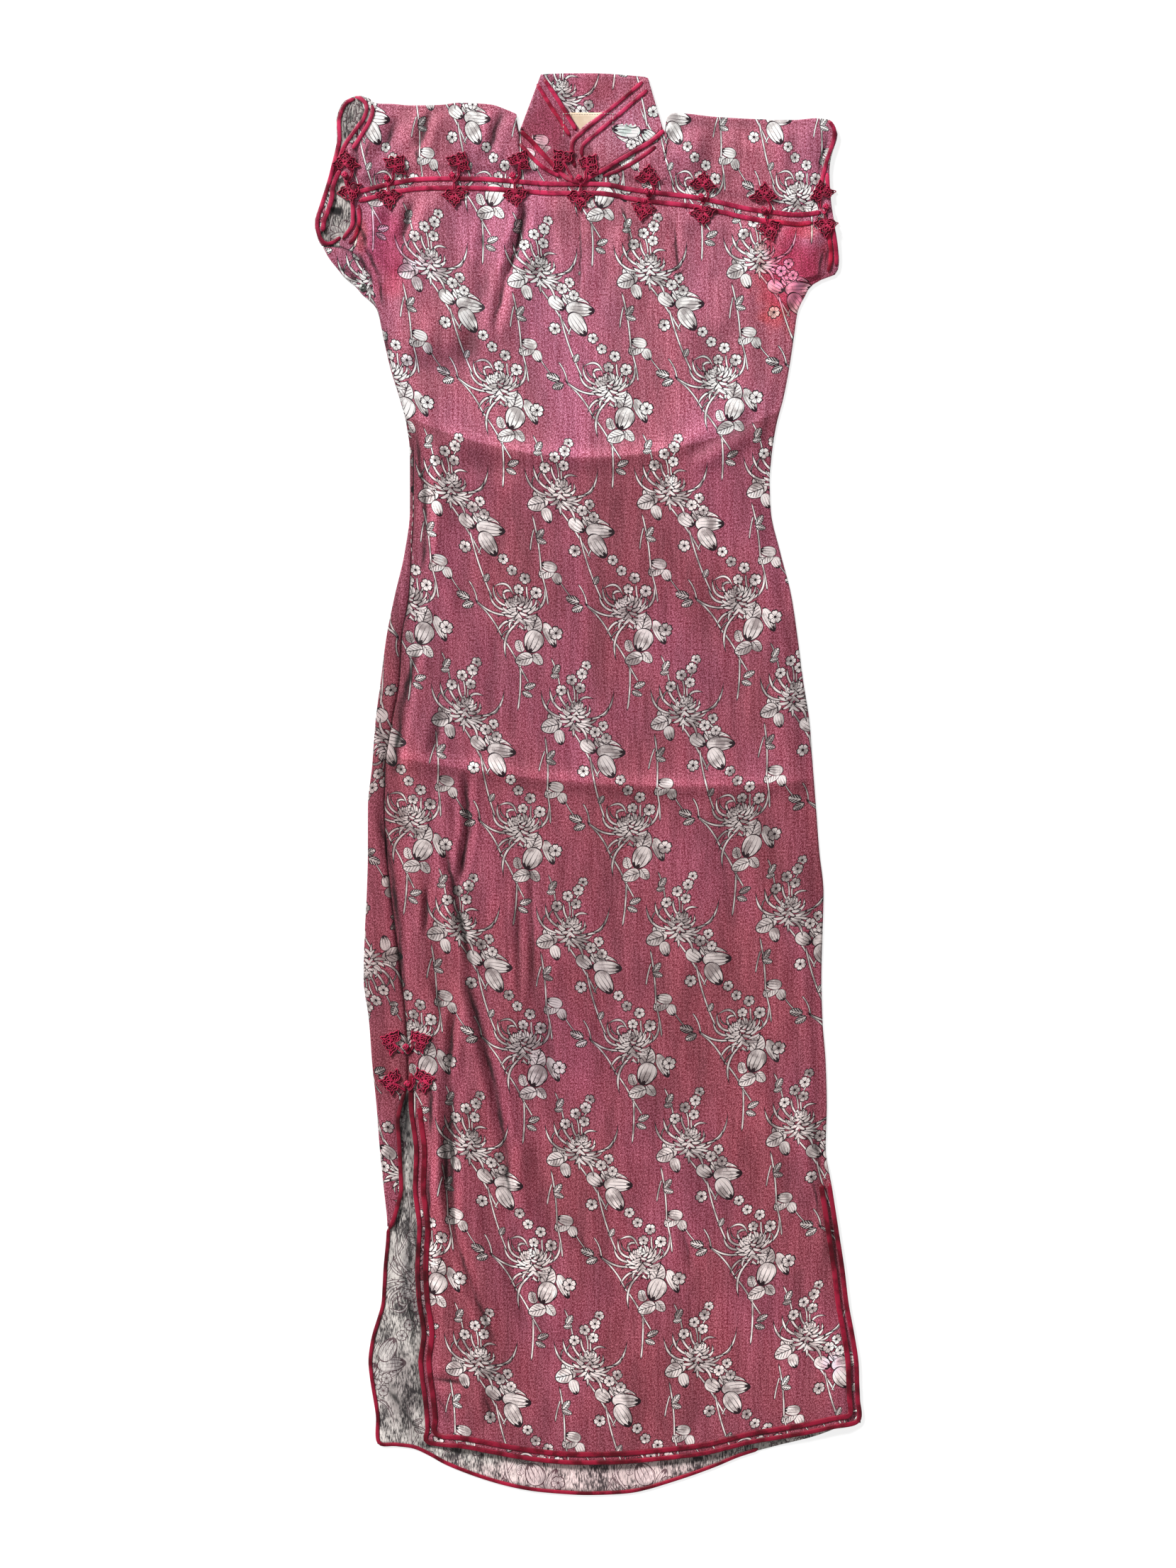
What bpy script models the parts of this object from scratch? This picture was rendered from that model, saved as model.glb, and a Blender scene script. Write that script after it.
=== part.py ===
"""A long cheongsam laid flat, front side up: back, front, yoke, collar, piping and frog fastenings.

Lengths in the tables are millimetres. X runs across the dress, Y from hem to collar, Z up from the
surface it lies on. The middle of the outline is the origin."""

import math

import bmesh
import bpy
from mathutils import Vector
from mathutils.bvhtree import BVHTree

for item in list(bpy.data.objects):
    bpy.data.objects.remove(item, do_unlink=True)

MM = 0.001
CLOTH = 1.2  # thickness of each layer of cloth
GAP = 0.3  # clearance where one piece lies on or meets another
FLOOR_LAYER = CLOTH / 2  # middle of the layer that rests on the surface
TOP_LAYER = 2.4  # middle of the layer above it
LAP = 1.6  # how far a lapping edge rides up over what it covers
TURN = 0.9  # radius of the fold down the left side
ROLL = 1.8  # radius of the edge rolled down at the right side and the shoulders
UNDERLAP = 12.0  # how far the yoke runs on under the front's top edge
PIPING_WIDE = 4.0
PIPING_THICK = 1.0
PIPING_INSET = 2.3  # piping's centre line to the edge it trims
TWIN = 8.6  # distance between the two rows of piping
CORD_THICK = 2.0  # frog fastenings
FLOWER = 10.4  # reach of a frog flower's petals
KNOT = 3.3  # radius of a frog's knot

HEM_LEFT, HEM_RIGHT = -612.0, -589.5  # the back's hem corners
FRONT_HEM_LEFT, FRONT_HEM_RIGHT = -611.5, -591.5
FRONT_TOP_LEFT, FRONT_TOP_RIGHT = 548.0, 533.5
CUFF_TOP_LEFT, CUFF_TOP_RIGHT = 638.5, 616.5
CUFF_TOP_SPAN = (-216.0, 218.5)  # the back's top edge, across
SIDE_WRAP_TOP, SIDE_WRAP_END = 497.5, -410.0  # the back's strip that is turned to the front
LEFT_SLIT, RIGHT_SLIT = -262.0, -340.0
NECK_LEFT, NECK_RIGHT = -63.0, 70.5

# height on the dress | left outline | the front's left edge | right outline
BODY = (
    (438, -195, -194, 195),
    (411, -189, -188.5, 191),
    (385, -183, -182, 187),
    (359, -175, -174.5, 182),
    (332, -168, -166, 175),
    (306, -165, -161, 171),
    (280, -165, -161, 169),
    (254, -165, -161, 170),
    (214, -170, -163, 179),
    (175, -179, -165, 189),
    (135, -187, -172, 195),
    (96, -192, -174, 200),
    (57, -197, -181, 206),
    (17, -200, -187, 209),
    (-22, -204, -188, 212),
    (-62, -204, -186, 215),
    (-101, -205, -182, 219),
    (-141, -207, -177, 218),
    (-180, -208, -172, 217),
    (-219, -203, -168, 218),
    (-259, -200, -166, 221),
    (-298, -196, -166, 222),
    (-338, -193, -161, 221),
    (-377, -189, -162, 227),
    (-410, -186, -158, 232),
    (-449, -189, -160, 238),
    (-482, -191, -158, 242),
    (-509, -199, -154, 247),
    (-535, -203, -157, 251),
    (-561, -200, -154, 252),
    (-587, -196, -151, 253),
)
# height | outline of the left sleeve and underarm
LEFT_SLEEVE = (
    (638.5, -216), (634.5, -225), (628, -229.5), (616, -233), (598.5, -232.5), (585, -235),
    (572, -238), (556, -242.5), (537, -248.5), (521.5, -253), (516, -253), (510, -251.5),
    (503.5, -249.5), (497.5, -245.5), (487.5, -240), (478, -232.5), (469, -225.5), (463, -217),
    (453, -208.5), (445, -199),
)
RIGHT_SLEEVE = (
    (616.5, 222.5), (611, 228.5), (604, 231.5), (598, 230.5), (589, 227.5), (579, 225), (569, 224),
    (554.5, 224.5), (536, 226), (516.5, 229), (497, 232), (485, 233), (477, 232), (472.5, 229.5),
    (469, 219), (461, 206.5), (453, 202), (445.5, 198),
)
# height | the edge, at the left cuff and underarm
YOKE_CUFF = (
    (637, -211), (631.5, -208.5), (625, -207), (618, -209), (611.5, -213), (605, -218), (598.5, -222.5),
    (592, -227), (585.5, -230), (579, -232), (572, -232.5), (565.5, -229.5), (559, -225.5), (548, -220.5),
    (536, -217),
)
FRONT_CUFF = (
    (548, -221), (529.5, -219.5), (517.5, -220), (509.5, -224), (504.5, -229), (499, -230), (496, -224),
    (492, -216.5), (482, -208.5), (472.5, -202.5), (464, -199.5), (446, -197),
)
# across | height, along each edge
YOKE_LINE = (
    (-221, 548), (-213, 550.5), (-196, 555), (-184, 558), (-154, 562.5), (-129, 563), (-95, 562.5),
    (-68, 560.5), (-28, 558), (12, 558), (40, 553), (63, 550), (97, 546), (118, 542), (154, 534),
    (175, 531.5), (193, 529.5), (217, 532), (226, 533.5),
)
LEFT_SHOULDER = (
    (-211, 638), (-203, 635.5), (-196, 631), (-184, 631), (-164, 629.5), (-137, 630), (-119, 632),
    (-91, 630.5), (-74, 625), (-64, 620.5),
)
RIGHT_SHOULDER = (
    (71.5, 618), (80, 622.5), (96, 621.5), (112, 619.5), (152, 617), (191, 616), (211, 617.5), (222.5, 616.5),
)
NECK = (
    (-63, 605.5), (-55, 599), (-45, 588), (-32, 574), (-19, 561.5), (-7, 558), (2, 562.5), (17, 570.5),
    (31.5, 579.5), (46.5, 588.5), (60, 596.5), (70.5, 606),
)
BACK_NECK = ((-62, 601), (-32, 594), (4, 591), (40, 592), (69.5, 599))
BACK_HEM = (
    (-195, -612), (-161, -616), (-132, -630.5), (-91, -646), (-49, -655.5), (2, -659), (36, -657.5),
    (73, -648.5), (119, -632.5), (146, -621.5), (175, -613.5), (211, -604.5), (249, -589.5),
)
FRONT_HEM = (
    (-150, -611.5), (-116, -615.5), (-65, -625), (-15, -630.5), (18, -630.5), (55, -628), (110, -621.5),
    (146, -612.5), (202, -603), (253, -591.5),
)
# height | edge of the back's turned strip: hidden under the front, then sewn to it, then free at the slit
TURNED_EDGE = (
    (497.5, -217), (492, -211), (482, -202.5), (472.5, -196.5), (464, -193.5), (446, -191), (438, -188.5),
    (411, -182.5), (385, -176), (359, -168.5), (332, -162.5), (306, -161.7), (280, -161.7), (254, -161.7),
    (-259, -166.7), (-272, -166.5), (-285, -168), (-298, -172), (-311, -174.5), (-338, -173), (-377, -171.5),
    (-390, -174.5), (-410, -179),
)
# foot x, y | top x, y | height of foot and top above the surface: the collar band, from its left end
# round the back of the neck to its right end
COLLAR = (
    (-8.5, 560.0, -8.0, 568.0, 2.6, 3.0),
    (-19.0, 562.5, -4.5, 584.0, 2.6, 3.2),
    (-32.0, 575.0, -6.0, 601.0, 2.6, 3.2),
    (-45.0, 589.5, -15.0, 618.0, 2.6, 3.3),
    (-55.0, 600.0, -28.5, 639.5, 2.7, 3.4),
    (-60.3, 607.0, -40.5, 656.0, 3.2, 3.4),
    (-61.7, 606.8, -42.5, 657.5, 3.0, 3.0),
    (-62.2, 606.6, -43.0, 657.5, 2.0, 2.0),
    (-61.7, 606.0, -42.5, 657.5, 1.0, 1.0),
    (-60.7, 604.8, -41.5, 658.0, 0.6, 0.6),
    (-32.0, 598.0, -19.0, 659.0, 0.6, 0.6),
    (4.0, 595.0, 7.0, 659.0, 0.6, 0.6),
    (40.0, 596.0, 34.0, 657.5, 0.6, 0.6),
    (68.5, 602.5, 54.0, 655.5, 0.6, 0.6),
    (69.5, 603.5, 55.0, 655.0, 1.0, 1.0),
    (70.0, 604.5, 55.5, 654.5, 2.0, 2.0),
    (69.5, 606.0, 55.0, 654.5, 3.0, 3.0),
    (68.0, 605.5, 53.5, 654.5, 3.3, 3.5),
    (60.0, 598.0, 41.0, 645.0, 2.9, 3.9),
    (46.5, 589.8, 27.0, 632.5, 3.0, 4.6),
    (31.5, 580.8, 10.5, 619.5, 3.3, 5.0),
    (17.0, 571.8, -5.5, 607.5, 4.0, 5.1),
    (2.0, 563.8, -17.5, 593.0, 4.6, 5.1),
    (-4.0, 560.8, -17.0, 578.0, 4.7, 5.1),
    (-8.5, 559.8, -13.0, 566.0, 4.8, 5.0),
)
# from x, y | to x, y | half width | rise: the largest folds, each lifted off the layer below
FOLDS = (
    (-120, -128, -99, -298, 9, 3.3),
    (-82, -193, -60, -390, 12, 2.5),
    (-143, -285, -139, -430, 8, 3.2),
    (-114, -325, -91, -489, 10, 3.0),
    (-132, -9, -124, -147, 9, 2.6),
    (-157, 4, -154, -206, 9, 2.6),
    (-77, 529, -99, 405, 9, 3.0),
    (-172, 520, -176, 480, 9, 2.4),
    (-148, 528, -154, 474, 9, 2.2),
    (-42, 528, -51, 477, 9, 1.8),
    (47, 524, 50, 470, 9, 1.8),
    (139, 505, 119, 418, 12, 2.2),
    (205, 500, 186, 444, 9, 2.4),
    (-139, 300, -143, 188, 8, 2.6),
    (102, 296, 150, 330, 11, 2.6),
    (-6, -351, 14, -476, 12, 1.4),
    (96, -351, 106, -476, 12, 1.4),
    (212, -351, 220, -430, 8, 2.4),
    (-137, 612, -148, 582, 9, 1.8),
    (-88, 612, -93, 582, 9, 2.0),
    (102, 603, 97, 572, 10, 2.0),
    (188, 600, 184, 560, 10, 1.8),
)
# flower on the yoke | knot | flower on the front, for each frog from the left cuff to the right one
FROGS = (
    ((-224.5, 575.5), (-224.5, 563.5), (-220.5, 549.5)),
    ((-177.5, 573.0), (-186.0, 561.0), (-184.5, 544.5)),
    ((-119.5, 575.5), (-125.5, 564.0), (-123.5, 545.5)),
    ((-63.5, 576.5), (-69.5, 563.5), (-67.0, 545.5)),
    ((0.5, 573.0), (-8.0, 561.0), (-7.5, 543.5)),
    ((56.0, 562.0), (54.5, 548.5), (51.5, 533.0)),
    ((106.5, 556.0), (105.0, 543.5), (107.0, 528.5)),
    ((163.5, 545.5), (163.0, 531.5), (168.0, 515.0)),
    ((217.5, 547.5), (221.0, 534.5), (220.5, 518.0)),
)
COLLAR_FROG = ((-23.0, 578.0), (-12.5, 566.5))
SLIT_FROGS = (
    ((-181.0, -239.0), (-168.5, -243.5), (-156.5, -238.0)),
    ((-181.0, -276.0), (-167.0, -277.5), (-153.0, -274.0)),
)
UNDERARM_SNAP = (-208.5, 460.0)
WAIST_SNAP = (-155.0, 286.0)
LABEL = (-24.0, 598.5, 25.0, 622.5)


def ease(t):
    t = min(max(t, 0.0), 1.0)
    return t * t * (3 - 2 * t)


def through(rows):
    """A curve through (place, value) rows that never swings past them."""
    rows = sorted(rows)
    place = [row[0] for row in rows]
    value = [row[1] for row in rows]
    steps = len(rows) - 1
    slope = [(value[k + 1] - value[k]) / (place[k + 1] - place[k]) for k in range(steps)]
    bend = [slope[0]]
    for k in range(1, steps):
        before, after = slope[k - 1], slope[k]
        bend.append(2 * before * after / (before + after) if before * after > 0 else 0.0)
    bend.append(slope[-1])

    def at(t):
        t = min(max(t, place[0]), place[-1])
        k = max(i for i in range(steps) if place[i] <= t)
        span = place[k + 1] - place[k]
        s = (t - place[k]) / span
        return (
            value[k] * (1 + 2 * s) * (1 - s) ** 2
            + value[k + 1] * s * s * (3 - 2 * s)
            + span * (bend[k] * s * (1 - s) ** 2 + bend[k + 1] * s * s * (s - 1))
        )

    return at


leftSide = through([(row[0], row[1]) for row in BODY] + list(LEFT_SLEEVE) + [(HEM_LEFT, -195)])
rightSide = through([(row[0], row[3]) for row in BODY] + list(RIGHT_SLEEVE) + [(HEM_RIGHT - 1, 253)])
frontEdge = through([(row[0], row[2]) for row in BODY] + list(FRONT_CUFF) + [(FRONT_HEM_LEFT, -150)])
yokeCuff = through(YOKE_CUFF)
yokeLine = through(YOKE_LINE)
leftShoulder = through(LEFT_SHOULDER)
rightShoulder = through(RIGHT_SHOULDER)
neckLine = through(NECK)
backNeck = through(BACK_NECK)
backHem = through(BACK_HEM)
frontHem = through(FRONT_HEM)
turnedFree = through([row for row in TURNED_EDGE if row[0] >= 254])
turnedSlit = through([row for row in TURNED_EDGE if row[0] <= -259])


def turnedEdge(y):
    """The strip's edge: tucked under the front at the top, against the side seam, then along the slit."""
    if y >= 254:
        return turnedFree(y)
    return frontEdge(y) - 0.7 if y > -259 else turnedSlit(y)


def shoulderTop(x):
    return leftShoulder(x) if x < 0 else rightShoulder(x)


def foldRise(x, y):
    """Height of the folds at a place; edges that are held by piping or a seam stay flat."""
    rise = 0.0
    for x0, y0, x1, y1, wide, high in FOLDS:
        along = Vector((x1 - x0, y1 - y0))
        t = (Vector((x - x0, y - y0)).dot(along)) / along.length_squared
        if not -0.25 < t < 1.25:
            continue
        off = abs((x - x0) * along.y - (y - y0) * along.x) / along.length
        if off > 3 * wide:
            continue
        ends = ease((t + 0.25) / 0.4) * ease((1.25 - t) / 0.4)
        rise = max(rise, high * ends * math.exp(-((off / wide) ** 2)))
    line = yokeLine(x)
    rise *= ease((line - 16 - y) / 16) if y < line else ease((y - line - 5) / 10)
    rise *= ease((x - leftSide(y) - 4) / 10) * ease((rightSide(y) - x - 5) / 12)
    if y > 250:
        rise *= ease((x - frontEdge(min(y, 548)) - 14) / 12)
    return rise


def cuffRise(x, y):
    left = (1 - ease((x + 224) / 28)) * ease((y - 503) / 20)
    right = ease((x - 200) / 26) * ease((y - 482) / 15)
    return 1.4 * left + 1.0 * right


def sheet(name, colour, across, along, place, thick=CLOTH, absent=None, rough=0.75):
    """A grid of cloth: place(across value, along value) says where each crossing lies, in mm."""
    bm = bmesh.new()
    last = (len(across) - 1, len(along) - 1)
    bmesh.ops.create_grid(bm, x_segments=last[0], y_segments=last[1], size=0.5)
    if absent:
        gone = []
        for face in bm.faces:
            middle = face.calc_center_median()
            if absent((middle.x + 0.5) * last[0], (middle.y + 0.5) * last[1]):
                gone.append(face)
        bmesh.ops.delete(bm, geom=gone, context="FACES")
    for vert in bm.verts:
        i = round((vert.co.x + 0.5) * last[0])
        j = round((vert.co.y + 0.5) * last[1])
        vert.co = Vector(place(across[i], along[j])) * MM
    mesh = bpy.data.meshes.new(name)
    bm.to_mesh(mesh)
    bm.free()
    mesh.shade_smooth()
    return finish(name, bpy.data.objects.new(name, mesh), colour, thick, rough)


def finish(name, piece, colour, thick=None, rough=0.75):
    material = bpy.data.materials.new(name)
    material.use_nodes = True
    shader = material.node_tree.nodes["Principled BSDF"]
    shader.inputs["Base Color"].default_value = (*colour, 1.0)
    shader.inputs["Roughness"].default_value = rough
    shader.inputs["Metallic"].default_value = 1.0 if name.endswith("snap") else 0.0
    piece.data.materials.append(material)
    dress.objects.link(piece)
    if thick:
        solid = piece.modifiers.new("Thickness", "SOLIDIFY")
        solid.thickness = thick * MM
        solid.offset = 0.0
    bpy.context.view_layer.update()
    stack.append(BVHTree.FromObject(piece, bpy.context.evaluated_depsgraph_get()))
    return piece


def topAt(x, y):
    """Height of the highest surface so far over a place, in mm."""
    best = 0.0
    for tree in stack:
        hit = tree.ray_cast(Vector((x * MM, y * MM, 0.1)), Vector((0, 0, -1)))[0]
        if hit is not None:
            best = max(best, hit.z / MM)
    return best


def evenly(path, step):
    """The path again, with points about a step apart and its own corners kept."""
    points = [Vector(path[0])]
    for a, b in zip(path, path[1:]):
        a, b = Vector(a), Vector(b)
        pieces = max(1, round((b - a).length / step))
        points += [a.lerp(b, k / pieces) for k in range(1, pieces + 1)]
    return points


def piping(name, path, step=12.0):
    """A flat strip of piping that follows what it lies on, a clearance above it."""
    points = evenly(path, step)
    rows = []
    for k, point in enumerate(points):
        before, after = points[max(k - 1, 0)], points[min(k + 1, len(points) - 1)]
        into = (point - before).normalized() if k else (after - point).normalized()
        out = (after - point).normalized() if k < len(points) - 1 else into
        way = (into + out).normalized()
        side = Vector((way.y, -way.x)) / max(way.dot(into), 0.5)
        high = 0.0
        for t in (-0.5, -0.25, 0.0, 0.25, 0.5):
            middle = point.lerp(before, -t) if t < 0 else point.lerp(after, t)
            middle = point + (before - point) * -t if t < 0 else middle
            for s in (-1.0, -0.5, 0.0, 0.5, 1.0):
                spot = middle + side * s * (PIPING_WIDE / 2 + 0.4)
                high = max(high, topAt(spot.x, spot.y))
        rows.append((point, side, high + GAP + PIPING_THICK / 2))

    def place(s, k):
        point, side, z = rows[k]
        spot = point + side * s * PIPING_WIDE / 2
        return spot.x, spot.y, z

    return sheet(name, (0.35, 0.01, 0.04), (-1.0, 1.0), range(len(rows)), place, PIPING_THICK, rough=0.4)


def petals(name, centre, knot, with_knot):
    """One half of a frog: three petals of looped cord and the stem that runs to the knot."""
    centre, knot = Vector(centre), Vector(knot)
    reach = (centre - knot).length
    turn = math.atan2(centre.y - knot.y, centre.x - knot.x)
    outline = []
    for k in range(25):
        angle = math.radians(-150 + 12.5 * k)
        bump = max(math.exp(-((math.degrees(angle) - lobe) / 34) ** 2) for lobe in (-100, 0, 100))
        r = FLOWER * (0.5 + 0.5 * bump)
        outline.append((r * math.cos(angle), r * math.sin(angle)))
    if with_knot:
        for k in range(9):
            angle = math.radians(28 + 38 * k)
            outline.append((-reach + KNOT * math.cos(angle), KNOT * math.sin(angle)))
    else:
        outline += [(KNOT + 0.5 - reach, 1.5), (KNOT + 0.5 - reach, -1.5)]
    high = 0.0
    spin = Vector((math.cos(turn), math.sin(turn)))
    for a, b in outline:
        for share in (0.0, 0.35, 0.7, 1.0):
            spot = centre + spin * a * share + Vector((-spin.y, spin.x)) * b * share
            for dx, dy in ((0, 0), (1.6, 0), (-1.6, 0), (0, 1.6), (0, -1.6)):
                high = max(high, topAt(spot.x + dx, spot.y + dy))
    curve = bpy.data.curves.new(name, "CURVE")
    curve.dimensions = "2D"
    curve.fill_mode = "BOTH"
    curve.extrude = CORD_THICK / 2 * MM
    spline = curve.splines.new("POLY")
    spline.points.add(len(outline) - 1)
    for point, (a, b) in zip(spline.points, outline):
        point.co = (a * MM, b * MM, 0.0, 1.0)
    spline.use_cyclic_u = True
    piece = bpy.data.objects.new(name, curve)
    piece.location = (centre.x * MM, centre.y * MM, (high + GAP + CORD_THICK / 2) * MM)
    piece.rotation_euler = (0.0, 0.0, turn)
    return finish(name, piece, (0.28, 0.005, 0.03), rough=0.45)


def snap(name, centre, radius):
    around = [topAt(centre[0] + radius * a, centre[1] + radius * b) for a, b in
              ((0, 0), (1, 0), (-1, 0), (0, 1), (0, -1), (0.7, 0.7), (-0.7, 0.7), (0.7, -0.7), (-0.7, -0.7))]
    bm = bmesh.new()
    bmesh.ops.create_cone(bm, cap_ends=True, segments=20, radius1=radius * MM, radius2=radius * 0.8 * MM,
                          depth=1.2 * MM)
    mesh = bpy.data.meshes.new(name)
    bm.to_mesh(mesh)
    bm.free()
    piece = bpy.data.objects.new(name, mesh)
    piece.location = (centre[0] * MM, centre[1] * MM, (max(around) + GAP + 0.6) * MM)
    return finish(name, piece, (0.12, 0.12, 0.11), rough=0.35)


dress = bpy.data.collections.new("cheongsam")
bpy.context.scene.collection.children.link(dress)
stack = []
ROSE = (0.39, 0.08, 0.12)

# The back lies on the surface. Down its left side it is turned up and over on to the front.
LEVELS = sorted(
    [row[0] for row in BODY]
    + [446, 459, 472.5, 482, 487, 492, 497.5, 503.5, 510, 518, 532, 548, 560, 572, 585, 598.5, 616, 628, 634.5]
)
backAlong = [HEM_LEFT] + LEVELS + [CUFF_TOP_LEFT]
STRIP = (("strip", 0.0), ("strip", 0.34), ("strip", 0.67), ("strip", 1.0))
FOLD = (("fold", 135), ("fold", 180), ("fold", 225))
FLAT = tuple(("floor", t) for t in (0.0, 0.03, 0.05, 0.09, 0.19, 0.3372, 0.3441, 0.42, 0.5, 0.58, 0.6663, 0.6732, 0.8, 0.9, 1.0))
backAcross = STRIP + FOLD + FLAT


def onStrip(y):
    return SIDE_WRAP_END <= y <= SIDE_WRAP_TOP


def backTop(x):
    """Top edge of the back: just inside the yoke's rolled shoulders, dipping under the neck."""
    if NECK_LEFT - 5 < x < NECK_RIGHT + 4.5:
        return backNeck(x)
    return shoulderTop(x) - 3.2 * ease((x + 213) / 10)


def backPlace(column, y):
    kind, t = column
    left = leftSide(y)
    if kind == "strip":
        x = turnedEdge(y) + (left + CLOTH / 2 + TURN - turnedEdge(y)) * t
        return x, y, TOP_LAYER + foldRise(x, y)
    if kind == "fold":
        a = math.radians(t)
        middle = (TOP_LAYER + FLOOR_LAYER) / 2
        return left + CLOTH / 2 + TURN + TURN * math.cos(a), y, middle + TURN * math.sin(a)
    share = (y - HEM_LEFT) / (CUFF_TOP_LEFT - HEM_LEFT)
    farY = HEM_RIGHT + share * (CUFF_TOP_RIGHT - HEM_RIGHT)
    near = left + (CLOTH / 2 + TURN if onStrip(y) else 0.0)
    far = rightSide(farY) - 4.0
    x = near + (far - near) * t
    upright = ease(t / 0.25) * ease((1 - t) / 0.25) * ease((y - 560) / 50)
    x += (CUFF_TOP_SPAN[0] + (CUFF_TOP_SPAN[1] - CUFF_TOP_SPAN[0]) * t - x) * upright
    line = y + (farY - y) * t
    hemPull = max(0.0, 1 - (y - HEM_LEFT) / 150) ** 2
    topPull = max(0.0, 1 - (CUFF_TOP_LEFT - y) / 110) ** 2
    hemLine = HEM_LEFT + (HEM_RIGHT - HEM_LEFT) * t
    topLine = CUFF_TOP_LEFT + (CUFF_TOP_RIGHT - CUFF_TOP_LEFT) * t
    line += hemPull * (backHem(x) - hemLine) + topPull * (backTop(x) - topLine)
    return x, line, FLOOR_LAYER


def backAbsent(i, j):
    inStrip = i < len(STRIP) + len(FOLD)
    return inStrip and not SIDE_WRAP_END < (backAlong[int(j)] + backAlong[int(j) + 1]) / 2 < SIDE_WRAP_TOP


sheet("back", ROSE, backAcross, backAlong, backPlace, absent=backAbsent)

# The yoke covers the shoulders and the upper sleeves, and runs on a little under the front.
yokeAcross = (
    -211, -203, -195, -184, -170, -156, -143, -130, -117, -103, -88, -76, -66.4, -64.8, -55, -45, -32, -19,
    -7, 2, 17, 31.5, 46.5, 60, 72.0, 73.6, 82, 96, 112, 130, 150, 170, 188, 204, 216, 222.5,
)
yokeAlong = (("up", 0.0), ("up", 0.13), ("up", 0.35), ("up", 0.55), ("up", 0.75), ("up", 0.9), ("up", 1.0),
             ("roll", 30), ("roll", 60), ("roll", 90))


def yokePlace(across, row):
    kind, t = row
    share = (across + 211) / 433.5
    lowShare = t if kind == "up" else 1.0
    left = yokeCuff(536 + 101 * lowShare)
    right = rightSide(521.5 + (CUFF_TOP_RIGHT - 521.5) * lowShare)
    x = left + (right - left) * share
    onShoulder = x < NECK_LEFT - 2.6 or x > NECK_RIGHT + 2.3
    top = shoulderTop(x) if onShoulder else neckLine(x) - 1.2
    rolled = ease((x + 200) / 10) if onShoulder else 0.0
    reach = CLOTH / 2 + ROLL
    low = yokeLine(x) - UNDERLAP
    if kind == "up":
        y = low + (top - reach - low) * t
        return x, y, TOP_LAYER + foldRise(x, y) + cuffRise(x, y)
    a = math.radians(t)
    flatY = top - reach + reach * t / 90
    rolledY = top - reach + ROLL * math.sin(a)
    z = TOP_LAYER + cuffRise(x, top - reach)
    return x, flatY + (rolledY - flatY) * rolled, z - rolled * ROLL * (1 - math.cos(a))


sheet("yoke", ROSE, yokeAcross, yokeAlong, yokePlace)

# The front laps over the yoke along the top and over the back's turned strip down to the waist.
frontAlong = [FRONT_HEM_LEFT] + [y for y in LEVELS if y < 518] + [529.5, 540, FRONT_TOP_LEFT]
frontAcross = [("flat", 0.0225 * k) for k in range(13)]
frontAcross += [("flat", t) for t in (0.315, 0.36, 0.41, 0.46, 0.51, 0.56, 0.61, 0.66, 0.71, 0.76, 0.81, 0.86,
                                      0.9, 0.935, 0.97, 1.0)]
frontAcross += [("roll", 30), ("roll", 60), ("roll", 90)]


def frontHigh(x, y):
    overYoke = 1 - ease((yokeLine(x) - 18 - y) / 25)
    overStrip = (1 - ease((x - frontEdge(y) - 14) / 21)) * ease((y - 262) / 36)
    return TOP_LAYER + LAP * max(overYoke, overStrip) + foldRise(x, y) + cuffRise(x, y)


def frontPlace(column, y):
    kind, t = column
    share = (y - FRONT_HEM_LEFT) / (FRONT_TOP_LEFT - FRONT_HEM_LEFT)
    farY = FRONT_HEM_RIGHT + share * (FRONT_TOP_RIGHT - FRONT_HEM_RIGHT)
    near, far = frontEdge(y), rightSide(farY)
    reach = CLOTH / 2 + ROLL
    flat = t if kind == "flat" else 1.0
    x = near + (far - reach - near) * flat
    line = y + (farY - y) * flat
    hemPull = max(0.0, 1 - (y - FRONT_HEM_LEFT) / 120) ** 2
    topPull = max(0.0, 1 - (FRONT_TOP_LEFT - y) / 90) ** 2
    line += hemPull * (frontHem(x) - FRONT_HEM_LEFT - (FRONT_HEM_RIGHT - FRONT_HEM_LEFT) * flat)
    line += topPull * (yokeLine(x) - FRONT_TOP_LEFT - (FRONT_TOP_RIGHT - FRONT_TOP_LEFT) * flat)
    z = frontHigh(x, line)
    if kind == "flat":
        return x, line, z
    a = math.radians(t)
    rolled = ease((farY - RIGHT_SLIT + 20) / 20) * (1 - ease((farY - 470) / 8))
    out = reach * t / 90
    out += (ROLL * math.sin(a) - out) * rolled
    return x + out, line, z - rolled * ROLL * (1 - math.cos(a))


sheet("front", ROSE, frontAcross, frontAlong, frontPlace)

# The collar is one band: its left end, round the back of the neck, and its right end over the left.


def collarPlace(k, t):
    footX, footY, topX, topY, footZ, topZ = COLLAR[k]
    return footX + (topX - footX) * t, footY + (topY - footY) * t, footZ + (topZ - footZ) * t


sheet("collar", ROSE, range(len(COLLAR)), (0.0, 0.25, 0.5, 0.75, 1.0), collarPlace)


def labelPlace(a, b):
    return LABEL[0] + (LABEL[2] - LABEL[0]) * a, LABEL[1] + (LABEL[3] - LABEL[1]) * b, CLOTH + GAP + 0.25


sheet("label", (0.85, 0.74, 0.52), (0.0, 0.5, 1.0), (0.0, 1.0), labelPlace, 0.5)

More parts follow.
